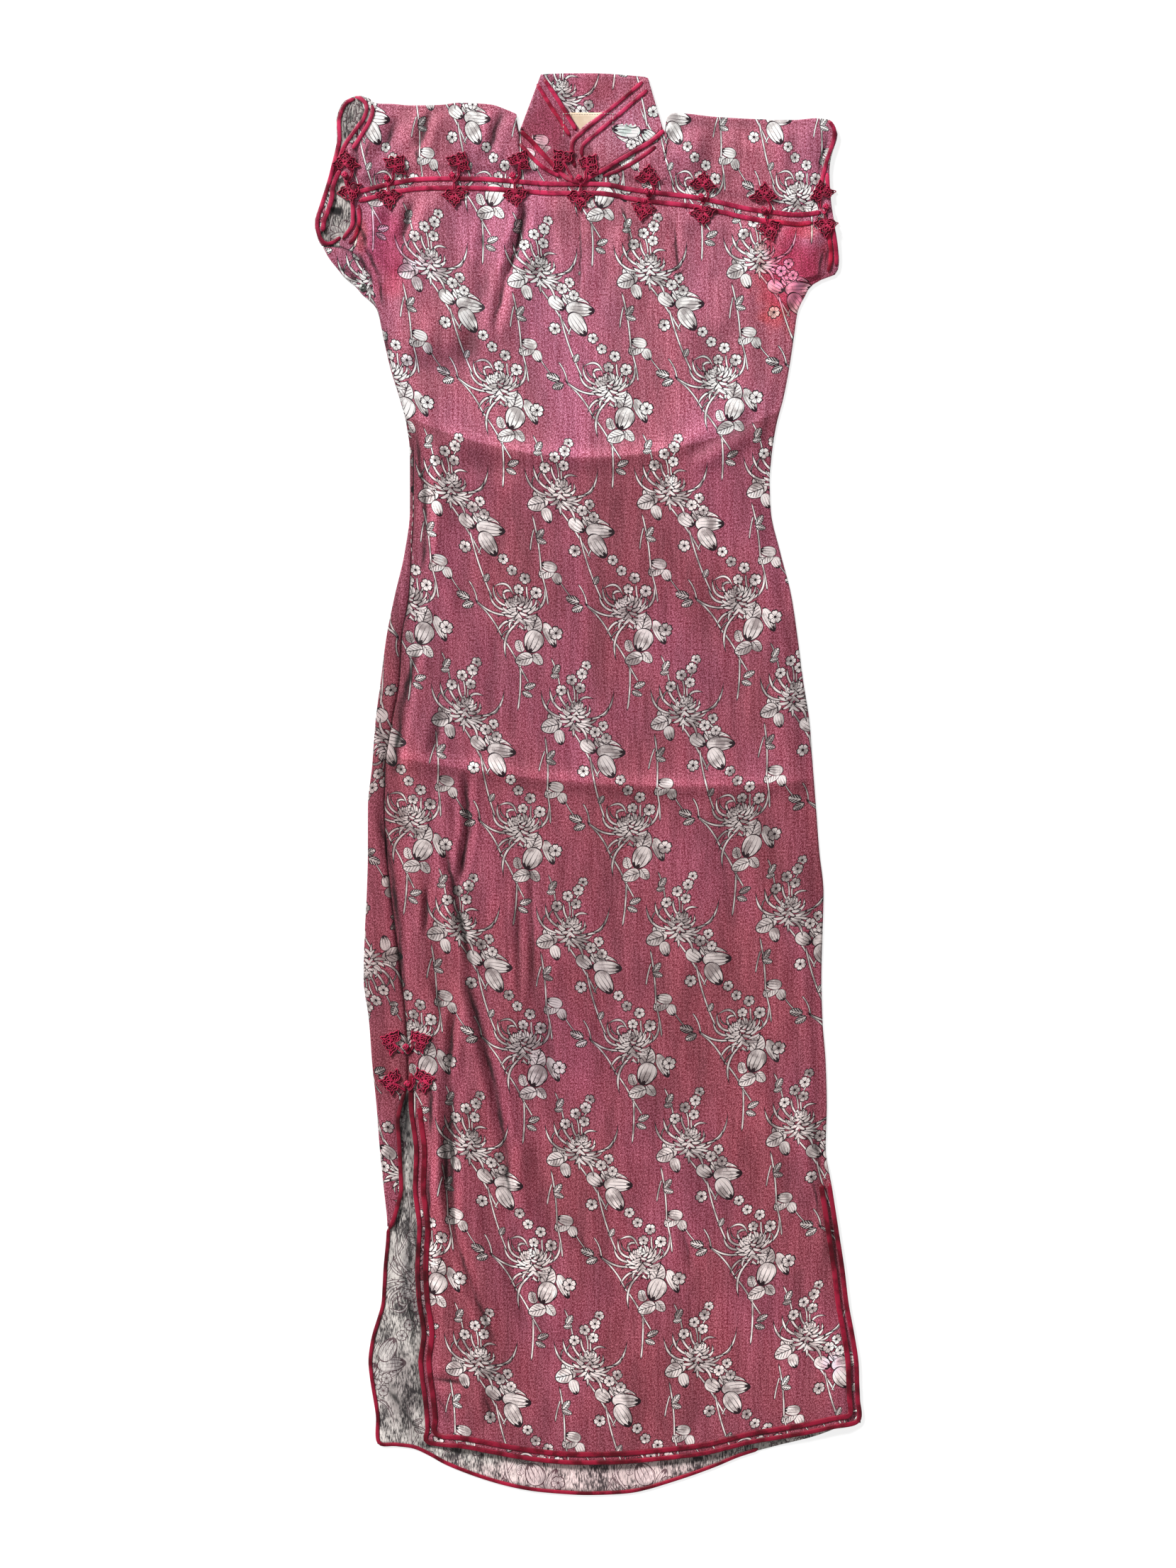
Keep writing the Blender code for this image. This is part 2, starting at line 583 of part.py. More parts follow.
# Crimson piping, in twin rows along the opening, the neck, the collar, the cuffs, the slits and the hem.
inset = PIPING_INSET
piping("yoke_piping_edge", [(x, yokeLine(x) - inset) for x in range(-218, 223, 14)], 14)
piping("yoke_piping_inner", [(x, yokeLine(x) - inset - TWIN) for x in range(-212, 219, 14)], 14)
piping("neck_piping_inner", [(x, y - 0.2) for x, y in NECK], 12)
piping("neck_piping_outer_left", [(-62.8, 593.0), (-44.5, 573.5), (-26.0, 563.0)], 10)
piping("neck_piping_outer_right", [(63.0, 590.5), (47.0, 579.0), (31.5, 570.0), (14.0, 563.5)], 10)
piping("collar_piping_edge_left", [(-39.5, 652.0), (-30.0, 638.0), (-16.5, 616.5), (-12.0, 611.0)], 10)
piping("collar_piping_inner_left", [(-46.5, 648.0), (-37.5, 633.0), (-27.5, 618.5), (-20.5, 609.0)], 10)
piping("collar_piping_edge_right", [(51.0, 650.5), (39.5, 641.0), (25.5, 629.0), (9.5, 616.0), (-5.0, 604.0),
                                    (-12.0, 597.5), (-14.6, 591.5), (-14.2, 580.0), (-11.5, 571.0)], 10)
piping("collar_piping_inner_right", [(55.5, 643.0), (44.0, 633.5), (30.5, 621.5), (15.0, 608.5), (1.0, 597.0),
                                     (-5.2, 590.0), (-5.4, 581.0)], 10)
piping("cuff_piping_yoke_left", [(yokeCuff(y) + inset, y) for y in (632, 625, 618, 611, 603, 595, 587, 579)], 9)
piping("cuff_piping_yoke_left_inner", [(-199.5, 629.0), (-199.5, 621.0), (-202.5, 612.5), (-207.5, 604.0),
                                       (-213.0, 595.5), (-217.5, 588.0)], 9)
piping("cuff_piping_back_left", [(-216.5, 634.5), (-223.0, 632.0), (-227.0, 626.5), (-230.3, 615.5)]
       + [(leftSide(y) + inset, y) for y in (598.5, 585, 572, 556, 538, 522, 512)]
       + [(-246.0, 504.0), (-240.5, 501.0), (-233.5, 503.5)], 10)
piping("cuff_piping_front_left", [(frontEdge(y) + inset, y) for y in (543, 529.5, 518)]
       + [(-222.5, 510.5), (-227.0, 504.5)], 9)
piping("cuff_piping_front_left_inner", [(-212.2, 536.0), (-211.5, 527.0), (-212.5, 516.0), (-216.0, 507.0),
                                        (-221.0, 500.5)], 9)
piping("cuff_piping_yoke_right", [(rightSide(y) - inset, y) for y in (566, 556, 547)], 9)
piping("cuff_piping_yoke_right_inner", [(226.5, 609.5), (228.0, 603.5), (225.0, 594.0), (220.5, 580.0),
                                        (216.5, 564.0), (214.0, 549.0)], 9)
piping("cuff_piping_front_right", [(rightSide(y) - inset, y) for y in (518, 508, 498, 488, 480)], 9)
piping("cuff_piping_front_right_inner", [(220.5, 514.0), (221.5, 506.0), (223.0, 494.0), (222.8, 483.0),
                                         (221.0, 475.0)], 9)
slitDown = (-268, -280, -298, -318, -338, -358, -377, -394, -410, -430, -449, -466, -482, -496, -509, -522, -535,
            -548, -561, -574, -587, -598)
hemX = (-144, -116, -90, -65, -40, -15, 10, 35, 60, 85, 110, 130, 150, 176, 202, 228, 246)
slitUp = (-584, -570, -555, -535, -509, -482, -449, -420, -395, -370)


def skirtPath(offset, top):
    """Down the front's left slit, along its hem and up its right slit, a set distance inside the edge."""
    path = [(frontEdge(y) + offset, y) for y in slitDown if y < top and y > FRONT_HEM_LEFT + offset + 6]
    path.append((frontEdge(FRONT_HEM_LEFT) + offset, frontHem(-144) + offset))
    path += [(x, frontHem(x) + offset) for x in hemX if -150 + offset + 8 < x < 252 - offset - 6]
    path.append((252.5 - offset, frontHem(252 - offset) + offset))
    path += [(rightSide(y) - offset, y) for y in slitUp if y > FRONT_HEM_RIGHT + offset + 6]
    return path


piping("skirt_piping_edge", skirtPath(inset, -262), 30)
piping("skirt_piping_inner", skirtPath(inset + TWIN, -284), 30)
piping("slit_piping_back", [(turnedEdge(y) - inset, y) for y in (-285, -298, -311, -325, -338, -358, -377, -390)], 30)
piping("back_piping", [(leftSide(y) + inset, y) for y in (-420, -435, -449, -466, -482, -496, -509, -522, -535,
                                                        -548, -561, -574, -587)]
       + [(-195 + inset, -609.5)]
       + [(x, backHem(x) + inset) for x in (-178, -161, -146, -132, -112, -91, -70, -49, -24, 2, 36, 55, 73, 96,
                                            119, 138, 158)], 30)

# Knotted frogs of looped cord, along the opening, at the collar and at the top of the left slit.
for number, (upper, knot, lower) in enumerate(FROGS, 1):
    petals(f"frog_{number}_knot", upper, knot, True)
    petals(f"frog_{number}_loop", lower, knot, False)
petals("collar_frog_loop", *COLLAR_FROG, False)
for number, (outer, knot, inner) in enumerate(SLIT_FROGS, 1):
    petals(f"slit_frog_{number}_knot", inner, knot, True)
    petals(f"slit_frog_{number}_loop", outer, knot, False)
snap("underarm_snap", UNDERARM_SNAP, 3.6)
snap("waist_snap", WAIST_SNAP, 2.0)
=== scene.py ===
# A long silk cheongsam laid flat with its front up.
# Tables are in millimetres: x across the dress, y from hem to collar, z up from the surface it lies on.
import bisect
import math

import bmesh
import bpy
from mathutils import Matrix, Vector, noise
from mathutils.bvhtree import BVHTree


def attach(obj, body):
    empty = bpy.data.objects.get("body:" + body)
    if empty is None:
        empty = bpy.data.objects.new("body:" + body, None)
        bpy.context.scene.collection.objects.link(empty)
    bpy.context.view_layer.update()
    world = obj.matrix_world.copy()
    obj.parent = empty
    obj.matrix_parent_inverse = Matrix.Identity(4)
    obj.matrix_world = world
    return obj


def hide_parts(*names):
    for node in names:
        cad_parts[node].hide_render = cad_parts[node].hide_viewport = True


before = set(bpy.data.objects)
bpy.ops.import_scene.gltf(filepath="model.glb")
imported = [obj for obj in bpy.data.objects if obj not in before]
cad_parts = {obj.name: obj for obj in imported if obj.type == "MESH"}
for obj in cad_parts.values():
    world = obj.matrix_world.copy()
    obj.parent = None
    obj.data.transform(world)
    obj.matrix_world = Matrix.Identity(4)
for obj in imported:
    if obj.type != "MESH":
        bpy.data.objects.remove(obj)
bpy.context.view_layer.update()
mm = 0.001
coarse = 1.0  # wider meshes while trying things

# small helpers


def meshOf(bm, name):
    mesh = bpy.data.meshes.new(name)
    bm.to_mesh(mesh)
    bm.free()
    return mesh


def ease(t):
    t = min(max(t, 0.0), 1.0)
    return t * t * (3 - 2 * t)


def through(rows):
    # a curve through (place, value) rows that never swings past them
    spots, values = zip(*sorted(rows))
    steps = len(spots) - 1
    slope = [(values[k + 1] - values[k]) / (spots[k + 1] - spots[k]) for k in range(steps)]
    bend = [slope[0]]
    for k in range(1, steps):
        before, after = slope[k - 1], slope[k]
        bend.append(2 * before * after / (before + after) if before * after > 0 else 0.0)
    bend.append(slope[-1])

    def at(t):
        t = min(max(t, spots[0]), spots[-1])
        k = min(max(bisect.bisect_right(spots, t) - 1, 0), steps - 1)
        span = spots[k + 1] - spots[k]
        s = (t - spots[k]) / span
        return (values[k] * (1 + 2 * s) * (1 - s) ** 2 + values[k + 1] * s * s * (3 - 2 * s)
                + span * (bend[k] * s * (1 - s) ** 2 + bend[k + 1] * s * s * (s - 1)))

    return at


def spread(first, last, step):
    # values from first to last, about a step apart
    count = max(1, round(abs(last - first) / (step * coarse)))
    return [first + (last - first) * k / count for k in range(count + 1)]


def along(path, step):
    # a smooth line through the path's points, about a step between its own points
    points = [Vector(p).to_3d() for p in path]
    points = [points[0] * 2 - points[1]] + points + [points[-1] * 2 - points[-2]]
    made = []
    for a, b, c, d in zip(points, points[1:], points[2:], points[3:]):
        count = max(1, round((c - b).length / step))
        for k in range(count):
            t = k / count
            made.append(0.5 * (2 * b + (c - a) * t + (2 * a - 5 * b + 4 * c - d) * t * t
                               + (3 * b - a - 3 * c + d) * t ** 3))
    return made + [points[-2]]


def ripple(x, y, size, seed=0.0):
    return noise.noise(Vector((x / size, y / size, seed)))


# the outline, as the solids have it

cloth = {
    "thick": 0.9,
    "floorLayer": 0.6,  # middle of the layer that rests on the surface
    "topLayer": 2.4,
    "lap": 1.6,  # how far a lapping edge rides up
    "edge": 0.6,  # from the outline to where a fold or a rolled edge starts
    "turn": 0.9,  # radius of the fold down the left side
    "roll": 1.8,  # radius of the rolled right edge and shoulders
    "underlap": 12.0,
}
hemLeft, hemRight = -612.0, -589.5
frontHemLeft, frontHemRight = -611.5, -591.5
frontTopLeft, frontTopRight = 548.0, 533.5
cuffTopLeft, cuffTopRight = 638.5, 616.5
cuffTopSpan = (-216.0, 218.5)
wrapTop, wrapEnd = 497.5, -410.0
rightSlit = -340.0
sewnLow, sewnHigh = -259, 254  # where the left side is sewn up, between the slit and the opening
neckLeft, neckRight = -63.0, 70.5
yokeEnds, yokeFoot = (-211, 222.5), (536, 521.5)  # its two top corners, and how low it reaches at the two cuffs

# height | left outline | the front's left edge | right outline
body = (
    (438, -195, -194, 195), (411, -189, -188.5, 191), (385, -183, -182, 187), (359, -175, -174.5, 182),
    (332, -168, -166, 175), (306, -165, -161, 171), (280, -165, -161, 169), (254, -165, -161, 170),
    (214, -170, -163, 179), (175, -179, -165, 189), (135, -187, -172, 195), (96, -192, -174, 200),
    (57, -197, -181, 206), (17, -200, -187, 209), (-22, -204, -188, 212), (-62, -204, -186, 215),
    (-101, -205, -182, 219), (-141, -207, -177, 218), (-180, -208, -172, 217), (-219, -203, -168, 218),
    (-259, -200, -166, 221), (-298, -196, -166, 222), (-338, -193, -161, 221), (-377, -189, -162, 227),
    (-410, -186, -158, 232), (-449, -189, -160, 238), (-482, -191, -158, 242), (-509, -199, -154, 247),
    (-535, -203, -157, 251), (-561, -200, -154, 252), (-587, -196, -151, 253),
)
leftSleeve = (
    (638.5, -216), (634.5, -225), (628, -229.5), (616, -233), (598.5, -232.5), (585, -235), (572, -238),
    (556, -242.5), (537, -248.5), (521.5, -253), (516, -253), (510, -251.5), (503.5, -249.5), (497.5, -245.5),
    (487.5, -240), (478, -232.5), (469, -225.5), (463, -217), (453, -208.5), (445, -199),
)
rightSleeve = (
    (616.5, 222.5), (611, 228.5), (604, 231.5), (598, 230.5), (589, 227.5), (579, 225), (569, 224),
    (554.5, 224.5), (536, 226), (516.5, 229), (497, 232), (485, 233), (477, 232), (472.5, 229.5), (469, 219),
    (461, 206.5), (453, 202), (445.5, 198),
)
yokeCuffEdge = (
    (637, -211), (631.5, -208.5), (625, -207), (618, -209), (611.5, -213), (605, -218), (598.5, -222.5),
    (592, -227), (585.5, -230), (579, -232), (572, -232.5), (565.5, -229.5), (559, -225.5), (548, -220.5),
    (536, -217),
)
frontCuffEdge = (
    (548, -221), (529.5, -219.5), (517.5, -220), (509.5, -224), (504.5, -229), (499, -230), (496, -224),
    (492, -216.5), (482, -208.5), (472.5, -202.5), (464, -199.5), (446, -197),
)
# across | height, along each edge
yokeLineEdge = (
    (-221, 548), (-213, 550.5), (-196, 555), (-184, 558), (-154, 562.5), (-129, 563), (-95, 562.5),
    (-68, 560.5), (-28, 558), (12, 558), (40, 553), (63, 550), (97, 546), (118, 542), (154, 534),
    (175, 531.5), (193, 529.5), (217, 532), (226, 533.5),
)
leftShoulderEdge = (
    (-211, 638), (-203, 635.5), (-196, 631), (-184, 631), (-164, 629.5), (-137, 630), (-119, 632),
    (-91, 630.5), (-74, 625), (-64, 620.5),
)
rightShoulderEdge = (
    (71.5, 618), (80, 622.5), (96, 621.5), (112, 619.5), (152, 617), (191, 616), (211, 617.5), (222.5, 616.5),
)
neckEdge = (
    (-63, 605.5), (-55, 599), (-45, 588), (-32, 574), (-19, 561.5), (-7, 558), (2, 562.5), (17, 570.5),
    (31.5, 579.5), (46.5, 588.5), (60, 596.5), (70.5, 606),
)
backNeckEdge = ((-62, 601), (-32, 594), (4, 591), (40, 592), (69.5, 599))
backHemEdge = (
    (-195, -612), (-161, -616), (-132, -630.5), (-91, -646), (-49, -655.5), (2, -659), (36, -657.5),
    (73, -648.5), (119, -632.5), (146, -621.5), (175, -613.5), (211, -604.5), (249, -589.5),
)
frontHemEdge = (
    (-150, -611.5), (-116, -615.5), (-65, -625), (-15, -630.5), (18, -630.5), (55, -628), (110, -621.5),
    (146, -612.5), (202, -603), (253, -591.5),
)
# height | edge of the back's strip that is turned to the front
turnedStrip = (
    (497.5, -217), (492, -211), (482, -202.5), (472.5, -196.5), (464, -193.5), (446, -191), (438, -188.5),
    (411, -182.5), (385, -176), (359, -168.5), (332, -162.5), (306, -161.7), (280, -161.7), (254, -161.7),
    (-259, -166.7), (-272, -166.5), (-285, -168), (-298, -172), (-311, -174.5), (-338, -173), (-377, -171.5),
    (-390, -174.5), (-410, -179),
)
# from x, y | to x, y | half width | rise: the largest folds, which the solids have too
folds = (
    (-120, -128, -99, -298, 9, 3.3), (-82, -193, -60, -390, 12, 2.5), (-143, -285, -139, -430, 8, 3.2),
    (-114, -325, -91, -489, 10, 3.0), (-132, -9, -124, -147, 9, 2.6), (-157, 4, -154, -206, 9, 2.6),
    (-77, 529, -99, 405, 9, 3.0), (-172, 520, -176, 480, 9, 2.4), (-148, 528, -154, 474, 9, 2.2),
    (-42, 528, -51, 477, 9, 1.8), (47, 524, 50, 470, 9, 1.8), (139, 505, 119, 418, 12, 2.2),
    (205, 500, 186, 444, 9, 2.4), (-139, 300, -143, 188, 8, 2.6), (102, 296, 150, 330, 11, 2.6),
    (-6, -351, 14, -476, 12, 1.4), (96, -351, 106, -476, 12, 1.4), (212, -351, 220, -430, 8, 2.4),
    (-137, 612, -148, 582, 9, 1.8), (-88, 612, -93, 582, 9, 2.0), (102, 603, 97, 572, 10, 2.0),
    (188, 600, 184, 560, 10, 1.8),
)
# from x, y | to x, y | half width | rise, or depth if negative: creases pressed and gathered into front and yoke
creases = (
    (-177, 615, -190, 585, 6, -1.6), (-146.5, 622, -157, 590, 5, -2.0), (-213, 602, -216, 556, 5, -1.2),
    (-80, 622, -93, 582, 5, -2.0), (-62, 592, -55, 569, 6, -1), (66, 592, 93, 615, 9, -1.4),
    (102, 612, 175, 610, 10, -1), (119, 605, 112, 569, 8, -0.9), (191, 602, 188, 562, 7, -1),
    (-124, 622, -114, 582, 7, 1), (152, 595, 142, 555, 8, 0.9), (-58, 528, -72, 476, 4, -2.0),
    (-75, 474, -88, 421, 5, -1.6), (-70, 526, -91, 411, 6, 1.5), (-163, 538, -172, 504, 5, -2.0),
    (-58, 536, -62, 497, 4, -1.2), (-7, 534, -7.5, 458, 2, -1.5), (35, 532, 39, 488, 2, -1.8),
    (79, 522, 85, 468, 2, -1.8), (-150, 536, -157, 497, 5, 1), (-101, 530, -106, 484, 5, 1),
    (20, 530, 22, 484, 5, 0.8), (112, 510, 119, 477, 6, 0.8), (-167, 388, -95, 405, 16, -1.2),
    (116, 418, 112, 359, 14, -1.2), (-124, 323, -62, 306, 8, 1.4), (-62, 306, 7, 302, 8, 1.6),
    (7, 302, 73, 309, 8, 1.4), (73, 309, 122, 323, 8, 1.2), (99, 309, 152, 338, 7, -1.6),
    (-216, 530, -207, 500, 3, -1.6), (-207, 500, -193, 470, 3, -1.8), (-193, 470, -189, 441, 3, -1.6),
    (-188, 416, -154, 428, 2, -0.8), (-160, 332, -152, 273, 4, -2), (-152, 273, -150, 227, 4, -2),
    (-150, 227, -153, 201, 4, -1.6), (-159, 122, -173, 70, 4, -2.2), (-173, 70, -179, 12, 4, -2.2),
    (-192, -31, -182, -81, 4, -2), (-182, -81, -175, -134, 4, -2.2), (-175, -134, -172, -187, 4, -2),
    (-113, 4, -110, -42, 4, -2), (-110, -42, -119, -91, 4, -1.8), (-149, -99, -150, -135, 3, -1.6),
    (-131, -62, -121, -108, 4, -1.8), (-121, -108, -109, -164, 4, -2), (-111, -185, -96, -239, 5, -2.4),
    (-96, -239, -85, -285, 5, -2.2), (-85, -285, -76, -338, 5, -2), (-76, -338, -72, -390, 6, -1.8),
    (-72, -390, -58, -443, 7, -1.2), (-142, -185, -135, -210, 3, -1.2), (-65, -97, -63, -185, 3, -0.9),
    (-52, -83, -50, -185, 3, -0.9), (-126, -285, -126, -400, 5, -2.2), (-128, -387, -121, -426, 4, -1.6),
    (-121, -426, -108, -463, 4, -1.6), (-108, -463, -88, -515, 5, -1.4), (-80, -425, -54, -509, 5, -0.9),
    (-11, -403, 3, -447, 5, -0.9), (86, -408, 95, -447, 5, -1), (-177, 25, -98, 14, 7, 1.7),
    (-98, 14, -19, 3, 7, 1.8), (-19, 3, 78, -2, 7, 1.8), (78, -2, 165, -1, 7, 1.6), (165, -1, 208, 4, 6, 1.2),
    (-137, 63, -143, 30, 5, -1.4), (-85, 135, -91, 63, 9, -0.8), (178, 267, 168, 201, 8, -0.9),
    (171, -49, 185, -147, 9, -0.9), (191, -187, 194, -298, 7, -1.2), (208, -298, 217, -377, 6, -1.4),
    (152, -325, 165, -430, 10, -0.7), (47, -325, 53, -390, 10, -0.6), (-32, -206, -26, -298, 10, -0.7),
    (-145.4, -280, -145.4, -320, 3, -2.2), (-147, -351, -148, -417, 3, -1.8), (-124, -213, -129, -272, 4, -1.8),
    (-132, -328, -130, -382, 5, -2.0), (-145, -550, -112, -556, 4, -1.6), (-142, -560, -128, -590, 4, -1.0),
    (-94, -568, -90, -588, 5, -1.4), (-91, -561, -85, -594, 6, -0.9), (198, -456, 206, -541, 7, -0.9),
    (139, -489, 143, -561, 8, -0.6), (14, -522, 22, -581, 9, -0.6), (-233, 479, -221, 474, 4, -2.0),
    (-222, 475, -210, 463, 4, -2.2), (-213, 492, -203, 476, 4, -2.2), (-203, 476, -198, 462, 3, -2.0),
    (-56, 500, -78, 424, 9, 1.4), (-92, 470, -112, 400, 10, -1.4), (-36, 500, -42, 430, 9, -0.8),
    (16, 520, 14, 452, 9, -0.8), (60, 520, 56, 462, 9, 0.9), (92, 512, 84, 440, 9, -0.8),
    (158, 500, 142, 430, 9, 1.0), (-150, 470, -128, 416, 10, -1.0), (-140, 300, -70, 290, 9, -0.9),
    (-150, 250, -130, 170, 8, 0.9), (-118, 250, -112, 150, 9, -0.7), (-60, 220, -52, 110, 12, 0.6),
    (100, 240, 92, 120, 12, 0.6), (150, 200, 140, 90, 10, -0.7), (-150, -30, -128, -150, 7, 1.2),
    (-96, -40, -74, -190, 8, 0.9), (-60, -120, -36, -260, 9, -0.9), (-34, -60, -26, -170, 10, 0.6),
    (20, -60, 28, -200, 11, -0.6), (80, -60, 92, -200, 11, 0.6), (130, -60, 140, -190, 10, -0.6),
    (-80, -330, -52, -450, 8, 1.1), (-50, -330, -30, -440, 9, -0.8), (-120, -420, -96, -520, 8, 1.0),
    (-100, -470, -70, -590, 9, -0.8), (0, -260, 10, -380, 12, 0.6), (60, -240, 74, -360, 12, -0.6),
    (120, -220, 136, -360, 11, 0.7), (170, -240, 186, -380, 9, -0.9), (190, -400, 206, -520, 9, 0.8),
    (100, -420, 112, -540, 11, -0.6), (40, -440, 52, -560, 11, 0.6), (-30, -460, -16, -580, 11, 0.6),
)
# the same columns: sharp creases and tucked edges that are drawn only as painted shade lines in the cloth
shadeLinesOnly = (
    (-238, 534, -229, 531, 5, -2.4), (-170, -288, -167, -330, 6, -2.0), (-167, -398, -164, -465, 4, -2.2),
    (-164, -465, -162, -530, 4, -2.4), (-187, -561, -171, -579, 4, -2.4), (-171, -579, -154, -603, 4, -2.4),
    (-172, -447, -165, -472, 3, -2.2), (-166, -474, -163, -503, 4, -2.6), (-216, 560, -214, 548, 6, -2.2),
    (-244, 500, -226, 497, 3, -2.0), (-64, 622, -64.5, 592, 3, -2.4), (-206, 634, -213, 602, 3, -1.8),
    (218.6, 498, 213, 467, 3, -2.2), (221.8, 505, 220.4, 476, 2, -1.6), (224, 608, 211, 556, 2, -1.8),
    (-217, 531, -212, 517, 4, -2.4), (-212, 517, -204, 497, 4, -2.4), (-204, 497, -194, 470, 3, -2.2),
    (-188, 425, -184, 398, 3, -2.0), (-170, -288, -168, -310, 5, -2.4), (-161, -400, -158, -440, 4, -2.2),
    (-158, -440, -156, -490, 4, -2.0), (207, -360, 214, -402, 3, -1.6), (-200, 600, -210, 574, 4, -1.6),
    (-157, 590, -160, 576, 3, -2.0), (-98.6, 512, -97.7, 496, 2, -1.6), (-116, 560, -118, 548, 2, -1.4),
    (32, 537, 36, 516, 2, -1.8), (-46, 558, -44, 546, 2, -1.6), (-38, 558, -36, 545, 2, -1.4),
)
# creases in the back, seen from inside at the slit and the hem, and on its hidden side
backCreases = (
    (-170, -417, -166, -463, 4, 0.9), (-166, -463, -164, -509, 4, 1.4), (-184, -545, -155, -602, 5, 1.6),
    (-177, -325, -170, -390, 4, 0.8), (-60, -500, -48, -640, 8, 0.7), (70, -480, 64, -610, 8, 0.7),
    (-130, 480, -110, 350, 9, 0.8), (0, 540, 12, 400, 10, 0.8), (120, 500, 100, 380, 9, 0.8),
    (-150, 310, 130, 300, 9, 0.8), (-170, 8, 190, 2, 9, 0.8), (-120, -60, -90, -330, 9, 0.8),
    (60, -100, 80, -380, 10, 0.8), (150, -80, 165, -300, 9, 0.8), (-40, 250, -30, 60, 10, 0.7),
)

leftSide = through([(row[0], row[1]) for row in body] + list(leftSleeve) + [(hemLeft, -195)])
rightSide = through([(row[0], row[3]) for row in body] + list(rightSleeve) + [(hemRight - 1, 253)])
frontEdge = through([(row[0], row[2]) for row in body] + list(frontCuffEdge) + [(frontHemLeft, -150)])
yokeCuff = through(yokeCuffEdge)
yokeLine = through(yokeLineEdge)
leftShoulder = through(leftShoulderEdge)
rightShoulder = through(rightShoulderEdge)
neckLine = through(neckEdge)
backNeck = through(backNeckEdge)
backHem = through(backHemEdge)
frontHem = through(frontHemEdge)
turnedFree = through([row for row in turnedStrip if row[0] >= sewnHigh])
turnedSlit = through([row for row in turnedStrip if row[0] <= sewnLow])


def turnedEdge(y):
    if y >= sewnHigh:
        return turnedFree(y)
    return frontEdge(y) - 0.7 if y > sewnLow else turnedSlit(y)


def shoulderTop(x):
    return leftShoulder(x) if x < 0 else rightShoulder(x)


def ridges(rows, x, y, longest=False):
    # the rows' soft ridges and troughs at a place: the highest of them, or all added up
    best = 0.0
    for x0, y0, x1, y1, wide, high in rows:
        dx, dy = x1 - x0, y1 - y0
        size = dx * dx + dy * dy
        t = ((x - x0) * dx + (y - y0) * dy) / size
        if not -0.25 < t < 1.25:
            continue
        off = abs((x - x0) * dy - (y - y0) * dx) / (math.sqrt(size) * wide)
        if off > 3.6:
            continue
        value = high * ease((t + 0.25) / 0.4) * ease((1.25 - t) / 0.4)
        value *= math.exp(-off * off) - (0.5 * math.exp(-((off - 1.9) ** 2)) if high < 0 else 0.0)
        best = max(best, value) if longest else best + value
    return best


def held(x, y):
    # 0 along the edges that piping or a seam holds flat, 1 out in the cloth
    line = yokeLine(x)
    free = ease((line - 12 - y) / 14) if y < line else ease((y - line - 5) / 10)
    return free * ease((x - leftSide(y) - 4) / 10) * ease((rightSide(y) - x - 5) / 12)


def foldRise(x, y):
    rise = ridges(folds, x, y, True) * held(x, y)
    if y > 250:
        rise *= ease((x - frontEdge(min(y, frontTopLeft)) - 14) / 12)
    return rise


def fineRise(x, y):
    # creases, gathers below the opening and the cloth's own slight waviness, always above the layer below
    free = held(x, y) * ease((x - frontEdge(min(y, frontTopLeft) if y > 250 else y) - 12) / 12)
    made = 2.5 + 1.5 * ridges(creases, x, y)
    made += 0.9 * ripple(x, y * 0.35, 34) + 0.4 * ripple(x, y * 0.5, 13, 4.0)
    gather = ease((y - 440) / 60) * ease((yokeLine(x) - 4 - y) / 10) * ease((y - 380) / 20)
    made += gather * 0.9 * math.sin(x / 4.6 + 2.2 * ripple(x, y, 40, 7.0))
    return max(made, -0.4) * free


def pressed(x, y):
    # how deep (below 0) or high a place lies in the creases, for the painted shade in them and the painted highlight
    # on their ridges, with a painted shadow along the front's lapping left edge
    edge = 1.9 * math.exp(-(((x - frontEdge(y) - 0.6) / 1.7) ** 2)) if -255 < y < 445 else 0.0
    return ridges(creases, x, y) * held(x, y) - edge


def cuffRise(x, y):
    left = (1 - ease((x + 224) / 28)) * ease((y - 503) / 20)
    right = ease((x - 200) / 26) * ease((y - 482) / 15)
    return 1.4 * left + 1.0 * right


# where each thread of the weave lies, so that the flowers follow the cloth

weave = {
    "across": 101.5, "down": 202.5,  # repeat of the flower pattern
    "back": (12, 30),  # where the pattern starts on the back, which is cut upside down
    "underSleeve": (-3, -877),  # and where it starts on the strip under the sleeve
    "yoke": (53, -110), "yokeAt": (195, 546), "yokeWide": 1.09,  # a place in it, the same place in the yoke, stretch
}
frontShift = through(((640, -58), (479.6, -44), (274, -25.2), (68.3, -11.2), (-131.4, -15.6), (-333, -6.8),
                      (-533.5, 1.3), (-700, 6)))
frontDown = through(((640, 158), (479.6, 0), (274, -202.5), (68.3, -405), (-131.4, -607.5), (-333, -810),
                     (-533.5, -1012.5), (-700, -1180)))


def frontWeave(x, y):
    level = y - 0.00043 * (x + 15) ** 2 * (1.0 + max(0.0, -y) / 1600)
    return x - frontShift(level), frontDown(level)


def yokeWeave(x, y):
    (u, v), (atX, atY) = weave["yoke"], weave["yokeAt"]
    return (x - atX) * weave["yokeWide"] + u, y - atY + v


def backWeave(x, y):
    return x + weave["back"][0], weave["back"][1] - y


# finishes


def group(name, takes, gives):
    tree = bpy.data.node_groups.new(name, "ShaderNodeTree")
    for title, kind in takes:
        tree.interface.new_socket(title, in_out="INPUT", socket_type=kind)
    for title, kind in gives:
        tree.interface.new_socket(title, in_out="OUTPUT", socket_type=kind)
    return tree, tree.nodes.new("NodeGroupInput").outputs, tree.nodes.new("NodeGroupOutput").inputs


def put(tree, socket, value):
    if isinstance(value, bpy.types.NodeSocket):
        tree.links.new(value, socket)
    else:
        socket.default_value = value


